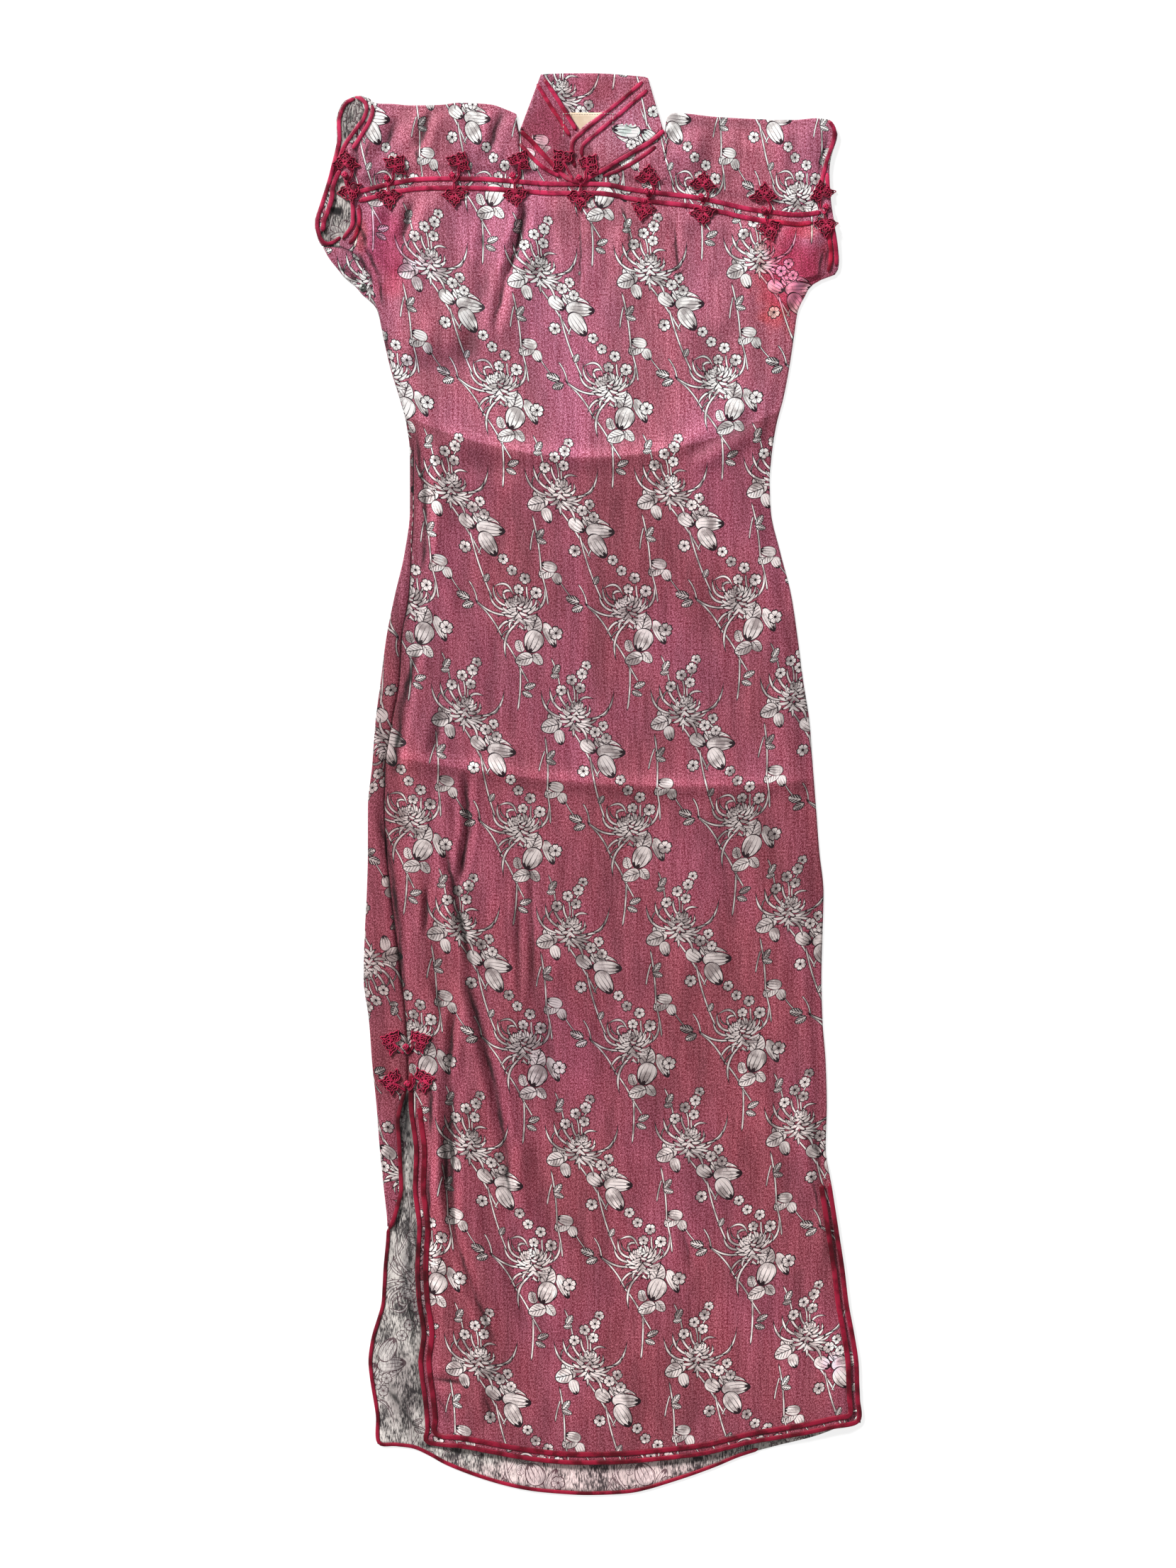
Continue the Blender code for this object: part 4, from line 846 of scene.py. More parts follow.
def makeReverse():
    look, tree, shader = finish("greyReverse", 0.6, Sheen_Weight=0.1, Specular_IOR_Level=0.35)
    where = place(tree)
    shade = use(tree, brocade, place(tree, "weave"))[0]
    floats = grain(tree, vec(tree, "MULTIPLY", where, (1.0, 0.22, 1.0)), 820.0, 2.0, 0.7)
    patch = grain(tree, vec(tree, "MULTIPLY", where, (1.0, 0.5, 1.0)), 52.0, 3.0, 0.7)
    marl = ramp(tree, calc(tree, "MULTIPLY_ADD", patch, 0.95, floats), 0.77, 1.19)
    color = blend(tree, marl, (0.045, 0.036, 0.038), (0.76, 0.7, 0.655))
    pale = calc(tree, "MULTIPLY", calc(tree, "GREATER_THAN", shade, 0.5), 0.36)
    color = blend(tree, pale, color, (0.72, 0.66, 0.64))
    lined = calc(tree, "MULTIPLY", calc(tree, "LESS_THAN", shade, -0.5), 0.85)
    color = blend(tree, lined, color, (0.06, 0.014, 0.026))
    coated(tree, shader, use(tree, shadeAndStains, where, color, lowness(tree), 0.0)[0], floats, 0.2, 0.8, (0.7, 0.5))
    raised(tree, shader, floats, 0.5, 0.0006)
    return look


def makeSatin():
    look, tree, shader = finish("crimsonSatin", 0.42, Sheen_Weight=0.2, Sheen_Roughness=0.35, Specular_IOR_Level=0.3)
    thread = place(tree, "weave")
    fine = grain(tree, vec(tree, "MULTIPLY", thread, (1.0, 0.01, 1.0)), 1500.0, 1.0)
    where = place(tree)
    worn = calc(tree, "MULTIPLY_ADD", fine, 0.35, grain(tree, where, 60.0, 3.0))
    # painted sheen and shade: each strip lighter and darker in patches along its length
    color = blend(tree, ramp(tree, worn, 0.5, 0.82), (0.17, 0.0015, 0.02), (0.55, 0.02, 0.088))
    # darker towards the hem
    hemTint = pick(tree, ramp(tree, parts(tree, where)[1], -0.2, 0.25), (0.56, 0.24, 0.38), (1.0, 1.0, 1.0), "VECTOR")
    color = use(tree, shadeAndStains, where, vec(tree, "MULTIPLY", color, hemTint), 0.0, 0.3)[0]
    coated(tree, shader, color, worn, 0.5, 0.85, (0.4, 0.55))
    raised(tree, shader, fine, 0.25, 0.0004)
    return look


def makeCord(name, low, high):
    look, tree, shader = finish(name, 0.45, Sheen_Weight=0.1, Specular_IOR_Level=0.4)
    u, v = parts(tree, place(tree, "weave"))[:2]
    ply = calc(tree, "SINE", calc(tree, "MULTIPLY_ADD", u, 5200.0, calc(tree, "MULTIPLY", v, 2 * math.pi)))
    worn = grain(tree, place(tree), 260.0, 2.0, flat=False)
    color = blend(tree, ramp(tree, calc(tree, "MULTIPLY_ADD", ply, 0.1, worn), 0.3, 0.7), low, high)
    coated(tree, shader, color, worn, 0.3, 0.7, (0.38, 0.55))
    raised(tree, shader, ply, 0.3, 0.0003)
    return look


def makeLabel():
    look, tree, shader = finish("creamTape", 0.7)
    waves = [calc(tree, "SINE", calc(tree, "MULTIPLY", way, 6500.0)) for way in parts(tree, place(tree))[:2]]
    over = calc(tree, "MULTIPLY", *waves)
    worn = grain(tree, place(tree), 60.0, 3.0)
    worn = ramp(tree, calc(tree, "MULTIPLY_ADD", over, 0.06, worn), 0.25, 0.75)
    tree.links.new(blend(tree, worn, (0.70, 0.52, 0.36), (0.88, 0.76, 0.58)), shader.inputs["Base Color"])
    raised(tree, shader, over, 0.3, 0.0002)
    return look


def makeMetal():
    look, tree, shader = finish("dullSnap", 0.4, Metallic=0.85)
    worn = grain(tree, place(tree), 500.0, 3.0, flat=False)
    color = blend(tree, ramp(tree, worn, 0.35, 0.7), (0.07, 0.075, 0.07), (0.30, 0.31, 0.29))
    coated(tree, shader, color, worn, 0.3, 0.7, (0.32, 0.6))
    return look


def makeThread():
    look, tree, shader = finish("paleThread", 0.6)
    worn = grain(tree, place(tree), 900.0, 1.0, flat=False)
    tree.links.new(blend(tree, worn, (0.55, 0.47, 0.46), (0.8, 0.74, 0.7)), shader.inputs["Base Color"])
    return look


rose, reverse, satin = makeRose(), makeReverse(), makeSatin()
cordLook = makeCord("redCord", (0.25, 0.0015, 0.032), (0.64, 0.010, 0.09))
# the dark finish of the painted shadow laid between the frogs' petal folds
cordShade = makeCord("paintedShadowCord", (0.045, 0.0004, 0.007), (0.17, 0.001, 0.022))
tape, metal, paleThread = makeLabel(), makeMetal(), makeThread()
print("finishes made")

# pieces of cloth

stack = []  # what lies there so far, so that the next piece can lie on it


def shown(name, mesh, look, nodes=(), inner=None):
    # inner is the finish of a sheet's other face
    piece = bpy.data.objects.new(name, mesh)
    bpy.context.scene.collection.objects.link(piece)
    for coat in (look, inner) if inner else (look,):
        mesh.materials.append(coat)
    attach(piece, "root")
    if nodes:
        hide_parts(*nodes)
    return piece


def stackUp(piece):
    # with its thickness on
    bpy.context.view_layer.update()
    stack.append(BVHTree.FromObject(piece, bpy.context.evaluated_depsgraph_get()))


def topAt(x, y):
    best = 0.0
    for tree in stack:
        hit = tree.ray_cast(Vector((x * mm, y * mm, 0.1)), Vector((0, 0, -1)))[0]
        if hit is not None:
            best = max(best, hit.z / mm)
    return best


def clothSheet(name, across, down, lie, look, inner, nodes, thick, absent=None, paintedShading=pressed, cut=None):
    # a woven grid; lie(across, down) gives x, y, z and where the thread lies in the weave
    bm = bmesh.new()
    last = (len(across) - 1, len(down) - 1)
    bmesh.ops.create_grid(bm, x_segments=last[0], y_segments=last[1], size=0.5)
    if absent:
        gone = []
        for face in bm.faces:
            middle = face.calc_center_median()
            i, j = int((middle.x + 0.5) * last[0]), int((middle.y + 0.5) * last[1])
            if absent((across[i] + across[i + 1]) / 2, (down[j] + down[j + 1]) / 2):
                gone.append(face)
        bmesh.ops.delete(bm, geom=gone, context="FACES")
    thread = bm.loops.layers.uv.new("weave")
    # each vertex keeps its painted shade (below 0) or painted highlight (above 0) for the finish
    deep = bm.verts.layers.float.new("paintedShading")
    for vert in bm.verts:
        i, j = round((vert.co.x + 0.5) * last[0]), round((vert.co.y + 0.5) * last[1])
        x, y, z, u, v = lie(across[i], down[j])
        vert.co = Vector((x, y, z)) * mm
        vert[deep] = paintedShading(x, y)
        for loop in vert.link_loops:
            loop[thread].uv = (u * mm, v * mm)
    for face in bm.faces:
        face.smooth = True
        if cut:
            middle = face.calc_center_median() / mm
            for loop in face.loops:
                loop[thread].uv = cut(middle, loop.vert.co.x / mm, loop.vert.co.y / mm) * mm
    piece = shown(name, meshOf(bm, name), look, nodes, inner)
    solid = piece.modifiers.new("Thickness", "SOLIDIFY")
    solid.thickness = thick * mm
    solid.offset = 0.0
    solid.material_offset = 1 if inner else 0
    stackUp(piece)
    return piece


def sweep(bm, points, wide, high, sides, thread=None, flatUnder=1.0, upright=True):
    # a tube along the points; flatUnder below 1 presses its underside flat
    count = len(points) - 1
    made = bmesh.ops.create_grid(bm, x_segments=count, y_segments=sides, size=0.5)["verts"]
    run, frames, side = [0.0], [], None
    for k, point in enumerate(points):
        way = (points[min(k + 1, count)] - points[max(k - 1, 0)]).normalized()
        if upright or side is None:
            side = way.cross(Vector((0, 0, 1)))
        side = side - way * side.dot(way)
        side = side.normalized() if side.length > 1e-6 else Vector((1, 0, 0))
        frames.append((side, side.cross(way).normalized()))
        if k:
            run.append(run[-1] + (point - points[k - 1]).length)
    for vert in made:
        k, j = round((vert.co.x + 0.5) * count), round((vert.co.y + 0.5) * sides)
        a = 2 * math.pi * j / sides
        side, up = frames[k]
        taper = min(1.0, 0.45 + 0.55 * min(run[k], run[-1] - run[k]) / wide) if run[-1] > 2 * wide else 1.0
        out, lift = math.cos(a), math.sin(a)
        if flatUnder < 1:
            out, lift = math.copysign(abs(out) ** 0.75, out), math.copysign(abs(lift) ** 0.6, lift)
        lift *= high * (flatUnder if lift < 0 else 1.0)
        vert.co = (points[k] + side * out * wide * taper + up * lift * taper) * mm
        if thread:
            for loop in vert.link_loops:
                loop[thread].uv = (run[k] * mm, j / sides)
    return made


def closeUp(bm):
    # each tube's seam and ends
    bmesh.ops.remove_doubles(bm, verts=bm.verts, dist=0.000002)
    bmesh.ops.holes_fill(bm, edges=[e for e in bm.edges if e.is_boundary], sides=0)
    bmesh.ops.recalc_face_normals(bm, faces=bm.faces)
    for face in bm.faces:
        face.smooth = True


def tubes(name, paths, wide, high, sides, look, nodes, flatUnder=1.0, upright=True):
    bm = bmesh.new()
    thread = bm.loops.layers.uv.new("weave")
    for points in paths:
        sweep(bm, points, wide, high, sides, thread, flatUnder, upright)
    closeUp(bm)
    return shown(name, meshOf(bm, name), look, nodes)


def onStrip(y):
    return wrapEnd <= y <= wrapTop


def backTop(x):
    if neckLeft - 5 < x < neckRight + 4.5:
        return backNeck(x)
    return shoulderTop(x) - 3.2 * ease((x + 213) / 10)


def stripWeave(weft, x, y, share):
    # the turned strip's flowers, which stand upright under the sleeve
    (u, v), (ownU, ownV) = weave["back"], weave["underSleeve"]
    turn = ease((y - 425) / 16) * share
    return weft + u + (x + ownU - u - weft) * turn, v - y + (2 * y + ownV - v) * turn


def backPlace(s, y):
    # s runs over the strip that is turned to the front (-2 to -1), round the fold (to 0) and over the back (to 1)
    left = leftSide(y)
    bend = left + cloth["edge"] + cloth["turn"]
    if s <= -1:
        x = turnedEdge(y) + (bend - turnedEdge(y)) * (s + 2)
        seam = 0.5 * math.exp(-((x - turnedEdge(y)) / 2.0) ** 2) if y < sewnHigh else 0.0
        u = 2 * left - x - 2.8
        z = cloth["topLayer"] + foldRise(x, y) + stripRise(x, y) - seam
        return x, y, z, *stripWeave(u, x, y, 1.0)
    if s < 0:
        a = math.pi * (s + 1.5)
        u = left + 2.8 * s
        x = bend + cloth["turn"] * math.cos(a)
        z = (cloth["topLayer"] + cloth["floorLayer"]) / 2 + cloth["turn"] * math.sin(a)
        return x, y, z, *stripWeave(u, x, y, -s)
    share = (y - hemLeft) / (cuffTopLeft - hemLeft)
    farY = hemRight + share * (cuffTopRight - hemRight)
    near = bend if onStrip(y) else left
    far = rightSide(farY) - 4.0
    x = near + (far - near) * s
    upright = ease(s / 0.25) * ease((1 - s) / 0.25) * ease((y - 560) / 50)
    x += (cuffTopSpan[0] + (cuffTopSpan[1] - cuffTopSpan[0]) * s - x) * upright
    line = y + (farY - y) * s
    low = hemLeft + (hemRight - hemLeft) * s
    high = cuffTopLeft + (cuffTopRight - cuffTopLeft) * s
    line += max(0.0, 1 - (y - hemLeft) / 150) ** 2 * (backHem(x) - low)
    line += max(0.0, 1 - (cuffTopLeft - y) / 110) ** 2 * (backTop(x) - high)
    free = ease((x - leftSide(line) - 5) / 10) * ease((rightSide(line) - x - 8) / 12)
    return x, line, cloth["floorLayer"] + free * max(0.0, ridges(backCreases, x, line)), *backWeave(x, line)


def stripRise(x, y):
    free = ease((x - leftSide(y) - 2) / 6) * ease((turnedEdge(y) - x) / 5)
    return free * max(-0.3, 0.9 + ridges(creases, x, y) * 0.9 + 0.5 * ripple(x, y * 0.4, 26, 2.0))


def yokePlace(across, t):
    share = (across - yokeEnds[0]) / (yokeEnds[1] - yokeEnds[0])
    low = min(t, 1.0)
    left = yokeCuff(yokeFoot[0] + (yokeCuffEdge[0][0] - yokeFoot[0]) * low)
    right = rightSide(yokeFoot[1] + (cuffTopRight - yokeFoot[1]) * low)
    x = left + (right - left) * share
    onShoulder = x < neckLeft - 2.6 or x > neckRight + 2.3
    top = shoulderTop(x) if onShoulder else neckLine(x) - 1.2
    rolled = ease((x + 200) / 10) if onShoulder else 0.0
    reach = cloth["edge"] + cloth["roll"]
    start = yokeLine(x) - cloth["underlap"]
    if t <= 1:
        y = start + (top - reach - start) * t
        return (x, y, cloth["topLayer"] + foldRise(x, y) + cuffRise(x, y) + yokeRise(x, y), *yokeWeave(x, y))
    a = math.radians(90 * (t - 1))
    flat = top - reach + reach * (t - 1)
    y = flat + (top - reach + cloth["roll"] * math.sin(a) - flat) * rolled
    z = cloth["topLayer"] + cuffRise(x, top - reach) + yokeRise(x, flat)
    return (x, y, z - rolled * cloth["roll"] * (1 - math.cos(a)), *yokeWeave(x, flat))


def yokeRise(x, y):
    # the yoke is held at its piped neck, and loose over the shoulders
    line = yokeLine(x)
    top = shoulderTop(x) if x < neckLeft or x > neckRight else neckLine(x)
    free = ease((y - line - 4) / 9) * ease((top - y - 3) / 12)
    free *= ease((x - leftSide(y) - 6) / 10) * ease((rightSide(y) - x - 6) / 10)
    made = 2.2 + 1.5 * ridges(creases, x, y) + 0.8 * ripple(x * 0.6, y, 30) + 0.4 * ripple(x, y, 11, 3.0)
    return free * max(-0.4, made)


def frontPlace(s, y):
    share = (y - frontHemLeft) / (frontTopLeft - frontHemLeft)
    farY = frontHemRight + share * (frontTopRight - frontHemRight)
    near, far = frontEdge(y), rightSide(farY)
    reach = cloth["edge"] + cloth["roll"]
    flat = min(s, 1.0)
    x = near + (far - reach - near) * flat
    line = y + (farY - y) * flat
    low = frontHemLeft + (frontHemRight - frontHemLeft) * flat
    high = frontTopLeft + (frontTopRight - frontTopLeft) * flat
    line += max(0.0, 1 - (y - frontHemLeft) / 120) ** 2 * (frontHem(x) - low)
    line += max(0.0, 1 - (frontTopLeft - y) / 90) ** 2 * (yokeLine(x) - high)
    overYoke = 1 - ease((yokeLine(x) - 18 - line) / 25)
    overStrip = (1 - ease((x - frontEdge(line) - 14) / 21)) * ease((line - 262) / 36)
    z = cloth["topLayer"] + cloth["lap"] * max(overYoke, overStrip)
    z += foldRise(x, line) + cuffRise(x, line) + fineRise(x, line)
    if sewnLow < line < sewnHigh:
        z -= 0.5 * math.exp(-((x - frontEdge(line)) / 2.0) ** 2)
    if s <= 1:
        return (x, line, z, *frontWeave(x, line))
    a = math.radians(90 * (s - 1))
    rolled = ease((farY - rightSlit + 20) / 20) * (1 - ease((farY - 470) / 8))
    out = reach * (s - 1)
    weft, warp = frontWeave(x, line)
    turned = out + (cloth["roll"] * math.sin(a) - out) * rolled
    return x + turned, line, z - rolled * cloth["roll"] * (1 - math.cos(a)), weft + out, warp


# foot x, y | top x, y | height of foot and top: the collar band, from its left end round the back of the neck
collar = (
    (-8.5, 560.0, -8.0, 568.0, 2.6, 3.0), (-19.0, 562.5, -4.5, 584.0, 2.6, 3.2),
    (-32.0, 575.0, -6.0, 601.0, 2.6, 3.2), (-45.0, 589.5, -15.0, 618.0, 2.6, 3.3),
    (-55.0, 600.0, -28.5, 639.5, 2.7, 3.4), (-60.3, 607.0, -40.5, 656.0, 3.2, 3.4),
    (-61.7, 606.8, -42.5, 657.5, 3.0, 3.0), (-62.2, 606.6, -43.0, 657.5, 2.0, 2.0),
    (-61.7, 606.0, -42.5, 657.5, 1.0, 1.0), (-60.7, 604.8, -41.5, 658.0, 0.6, 0.6),
    (-32.0, 598.0, -19.0, 659.0, 0.6, 0.6), (4.0, 595.0, 7.0, 659.0, 0.6, 0.6), (40.0, 596.0, 34.0, 657.5, 0.6, 0.6),
    (68.5, 602.5, 54.0, 655.5, 0.6, 0.6), (69.5, 603.5, 55.0, 655.0, 1.0, 1.0), (70.0, 604.5, 55.5, 654.5, 2.0, 2.0),
    (69.5, 606.0, 55.0, 654.5, 3.0, 3.0), (68.0, 605.5, 53.5, 654.5, 3.3, 3.5), (60.0, 598.0, 41.0, 645.0, 2.9, 3.9),
    (46.5, 589.8, 27.0, 632.5, 3.0, 4.6), (31.5, 580.8, 10.5, 619.5, 3.3, 5.0), (17.0, 571.8, -5.5, 607.5, 4.0, 5.1),
    (2.0, 563.8, -17.5, 593.0, 4.6, 5.1), (-4.0, 560.8, -17.0, 578.0, 4.7, 5.1),
    (-8.5, 559.8, -13.0, 566.0, 4.8, 5.0),
)
collarAt = [through([(k, row[part]) for k, row in enumerate(collar)]) for part in range(6)]


def collarPlace(k, t):
    footX, footY, topX, topY, footZ, topZ = (at(k) for at in collarAt)
    return footX + (topX - footX) * t, footY + (topY - footY) * t, footZ + (topZ - footZ) * t, 0.0, 0.0


# for each part of the band: way up (0 where it has no flower) | where its middle lies in the weave
collarWeave = {
    "inside": (1, 24.8, -644.6), "leaf": (1, 26.5, -668.5), "flower": (-1, 69.0, 566.0), "plain": (0, 80.0, 50.0),
}


def collarThread(middle, x, y):
    # where the flowers fall: the band folds over, so those on its ends stand on their heads
    if middle.z < 0.9:
        part = "inside"
    elif middle.z > 3.6 or middle.x > 0:
        part = "plain" if middle.x < 20 or (middle.x < 50 and middle.y > 611) else "flower"
    else:
        part = "leaf" if math.hypot(middle.x + 44, middle.y - 592.5) < 11 else "plain"
    way, u, v = collarWeave[part]
    return Vector((u + way * x, v + way * y))


def collarShading(x, y):
    # painted shade left of a slanting line across the left flap and high on the band behind, darkest beside that
    # line; painted light on the rest
    left = (657 - y) * 0.6 - 40
    if x < left + 1:
        return -1.0
    if y > 604 and y > 657 - (54 - x) * 0.82:
        return -0.5 - 1.6 * math.exp(-(((x - left) / 7) ** 2))
    return 1.2


def backShading(x, y):
    # painted shade on the back's inside beside what lies on it and along the strip that is turned over it, with
    # painted light and shade on either side of its creases
    if onStrip(y) and x < turnedEdge(y) + 1:
        return pressed(x, y) - (2.4 * math.exp(-(((x - frontEdge(y)) / 5) ** 2)) if y > sewnHigh else 0.0)
    made = 1.6 * ridges(backCreases, x - 3, y) - 1.2 * ridges(backCreases, x + 5, y)
    if y < frontHemLeft + 20 or y < frontHem(x) + 6:
        made -= 0.8 * math.exp(-(((frontHem(x) - y) / 5) ** 2)) if x > -152 else 0.0
    if y < sewnLow:
        made -= 2.0 * math.exp(-(((frontEdge(y) - x) / 6) ** 2)) + 1.6 * ease((y + 420) / 140)
    elif y > 497 and x < -190:
        made -= 1.8 * math.exp(-(((x - leftSide(y) - 5) / 6) ** 2))
    elif y > 550:
        made -= 1.6
    return made


label = {"left": -24.0, "low": 598.5, "right": 25.0, "high": 622.5, "over": 1.4}


def labelPlace(a, b):
    x = label["left"] + (label["right"] - label["left"]) * a
    y = label["low"] + (label["high"] - label["low"]) * b
    return x, y, label["over"] + 0.12 * ripple(x, y, 9), x, y


def backRows(step):
    levels = (hemLeft, wrapEnd, wrapTop, cuffTopLeft)
    return [hemLeft] + [y for low, high in zip(levels, levels[1:]) for y in spread(low, high, step)[1:]]


back = clothSheet(
    "backPanel", spread(-2, -1, 0.11)[:-1] + spread(-1, 0, 0.16)[:-1] + spread(0, 1, 0.0095), backRows(4.4),
    backPlace, reverse, rose, ["back"], cloth["thick"],
    absent=lambda s, y: s < 0 and not onStrip(y), paintedShading=backShading)
yoke = clothSheet(
    "shoulderYoke",
    spread(yokeEnds[0], -66.4, 2.4) + spread(-64.8, 72.0, 2.4) + spread(73.6, yokeEnds[1], 2.4),
    spread(0, 1, 0.032) + spread(1, 2, 0.25)[1:], yokePlace, rose, reverse, ["yoke"], cloth["thick"])
front = clothSheet(
    "frontPanel", spread(0, 0.36, 0.0044)[:-1] + spread(0.36, 1, 0.0074) + spread(1, 2, 0.25)[1:],
    spread(frontHemLeft, frontTopLeft, 4.5), frontPlace, rose, reverse, ["front"], cloth["thick"])
collarBand = clothSheet(
    "standCollar", spread(0, 24, 0.2), spread(0, 1, 0.06), collarPlace, rose, rose, ["collar"],
    cloth["thick"], paintedShading=collarShading, cut=collarThread)
neckLabel = clothSheet(
    "neckLabel", spread(0, 1, 0.08), spread(0, 1, 0.15), labelPlace, tape, None, ["label"], 0.5)
print("cloth laid")

# where the back's edge is rolled forward along the lower left sleeve
lipInner = through(((574, -229.3), (554.5, -235.9), (542.7, -237.2), (531.5, -240.5), (523, -244.4), (509.8, -247.7),
                    (501.3, -245.1), (497, -240)))


def lipPlace(t, y):
    x = leftSide(y) + 0.4 + (lipInner(y) - leftSide(y)) * t
    return x, y, 0.9 + 1.3 * ease(t / 0.3), x, 30 - y


lip = clothSheet("cuffLip", spread(0, 1, 0.12), spread(499, 573, 3), lipPlace, rose, reverse, [], 0.8)

piping = {
    "half": 2.25, "rise": 0.75,  # half width and height of a satin strip
    "under": 0.35,  # how much of its height is below its middle
    "trim": 0.86,  # width of the strips at collar and cuffs, as a share of the others
    "twin": 8.6, "inset": 2.3,  # between the two rows, and from the edge to the first
    "step": 3.0,
}
cord = {
    "half": 0.45, "tall": 1.2,  # half width and height of a folded strip, which stands on its edge
    "flower": 12.2, "ball": 2.9,  # reach of a petal, radius of a knot's ball
    "shadowBed": 3.7,  # half width of the dark sheet of painted shadow between a petal's folds
    "strand": 0.72,  # half width of the cord that the ball is woven from
}


def laid(path, step, wide, lift):
    # the path again, resting on what is below it
    points = along(path, step * (1))
    count = len(points) - 1
    levels = []
    for k, point in enumerate(points):
        way = (points[min(k + 1, count)] - points[max(k - 1, 0)]).normalized()
        side = Vector((way.y, -way.x, 0)) * wide
        levels.append(max(topAt(point.x + side.x * s, point.y + side.y * s) for s in (-0.9, -0.45, 0, 0.45, 0.9)))
    for _ in range(2):
        levels = [max(level, (levels[max(k - 1, 0)] + level + levels[min(k + 1, count)]) / 3)
                  for k, level in enumerate(levels)]
    return [Vector((point.x, point.y, level + lift)) for point, level in zip(points, levels)]


def pipe(name, path, nodes=True, narrow=1.0):
    # a rounded strip of satin along the path
    half = piping["half"] * narrow
    points = laid(path, piping["step"], half, piping["rise"] * piping["under"] + 0.02)
    piece = tubes(name + "Satin", [points], half, piping["rise"], 10, satin, [name] if nodes else (),
                  piping["under"])
    stackUp(piece)


inset, twin, trim = (piping[size] for size in ("inset", "twin", "trim"))
pipe("yoke_piping_edge", [(x, yokeLine(x) - inset) for x in range(-218, 223, 14)])
pipe("yoke_piping_inner", [(x, yokeLine(x) - inset - twin) for x in range(-212, 219, 14)])
pipe("neck_piping_inner", [(x, y - 0.2) for x, y in neckEdge])
pipe("neck_piping_outer_left", [(-62.8, 593.0), (-44.5, 573.5), (-26.0, 563.0)], narrow=trim)
pipe("neck_piping_outer_right", [(63.0, 590.5), (47.0, 579.0), (31.5, 570.0), (14.0, 563.5)], narrow=trim)
pipe("collar_piping_edge_left", [(-40.5, 653.0), (-30.0, 637.5), (-16.8, 616.0), (-10.6, 605.5)], narrow=trim)
pipe("collar_piping_inner_left", [(-46.8, 648.5), (-37.5, 633.0), (-27.5, 617.5), (-16.4, 600.4)], narrow=trim)
pipe("collar_piping_edge_right", [(51.0, 650.5), (39.5, 641.0), (25.5, 629.0), (9.5, 616.0), (-5.0, 604.0),
                                  (-12.0, 597.5), (-14.6, 591.5), (-14.2, 580.0), (-11.5, 571.0)], narrow=trim)
pipe("collar_piping_inner_right", [(55.5, 643.0), (44.0, 633.5), (30.5, 621.5), (15.0, 608.5), (1.0, 597.0),
                                   (-5.2, 590.0), (-5.4, 581.0)], narrow=trim)
pipe("cuff_piping_yoke_left", [(-215.5, 636.6), (-211.5, 635.8)]
     + [(yokeCuff(y) + inset, y) for y in (631, 625, 618, 611, 603, 595, 587, 579)]
     + [(-232.6, 572.0), (-236.2, 564.0)], narrow=trim)
pipe("cuff_piping_yoke_left_inner", [(-199.5, 629.0), (-199.5, 621.0), (-202.5, 612.5), (-207.5, 604.0),
                                     (-213.0, 595.5), (-217.5, 588.0)], narrow=trim)
pipe("cuff_piping_back_left", [(-215.8, 635.4), (-222.6, 632.6), (-227.4, 626.0), (-230.5, 615.5)]
     + [(leftSide(y) + inset, y) for y in (598.5, 585, 572, 556, 538, 522, 512)]
     + [(-246.3, 503.4), (-240.5, 500.6), (-234.0, 503.6), (-229.2, 507.2)], narrow=trim)
pipe("cuffLip", [(-229.3, 569), (-235.9, 554.5), (-237.2, 542.7), (-240.5, 531.5), (-244.0, 523), (-245.5, 512)],
     nodes=False)
pipe("cuff_piping_front_left", [(-224.8, 560.5), (-221.6, 552.0)]
     + [(frontEdge(y) + inset, y) for y in (543, 529.5, 518)] + [(-222.5, 510.5), (-227.0, 504.5)], narrow=trim)
pipe("cuff_piping_front_left_inner", [(-212.2, 536.0), (-211.5, 527.0), (-212.5, 516.0), (-216.0, 507.0),
                                      (-221.0, 500.5)], narrow=trim)
pipe("cuff_piping_yoke_right", [(rightSide(y) - inset, y) for y in (566, 556, 547)], narrow=trim)
pipe("cuff_piping_yoke_right_inner", [(222.8, 614.8), (226.6, 610.2), (228.6, 604.5), (227.6, 596.3),
                                      (224.6, 586.5), (221.6, 577.7), (219.4, 569.0), (217.2, 560.2),
                                      (215.4, 551.5)], narrow=trim)
pipe("cuff_piping_front_right", [(rightSide(y) - inset, y) for y in (518, 508, 498, 488, 480)], narrow=trim)
pipe("cuff_piping_front_right_inner", [(221.6, 514.0), (223.6, 505.5), (225.2, 494.0), (225.0, 484.0),
                                       (223.0, 474.5)], narrow=trim)
# places along the skirt's edge: heights down the left slit, across the hem, and heights up the right slit
slitDown = (-268, -280, -298, -318, -338, -358, -377, -394, -410, -430, -449, -466, -482, -496, -509, -522, -535,
            -548, -561, -574, -587, -598)
hemX = (-144, -116, -90, -65, -40, -15, 10, 35, 60, 85, 110, 130, 150, 176, 202, 228, 246)
slitUp = (-584, -570, -555, -535, -509, -482, -449, -420, -395, -370)


def skirtPath(offset, top):
    # down the front's left slit, along its hem and up its right slit, a set distance inside the edge
    path = [(frontEdge(y) + offset, y) for y in slitDown if y < top and y > frontHemLeft + offset + 6]
    path.append((frontEdge(frontHemLeft) + offset, frontHem(-144) + offset))
    path += [(x, frontHem(x) + offset) for x in hemX if -150 + offset + 8 < x < 252 - offset - 6]
    path.append((252.5 - offset, frontHem(252 - offset) + offset))
    return path + [(rightSide(y) - offset, y) for y in slitUp if y > frontHemRight + offset + 6]


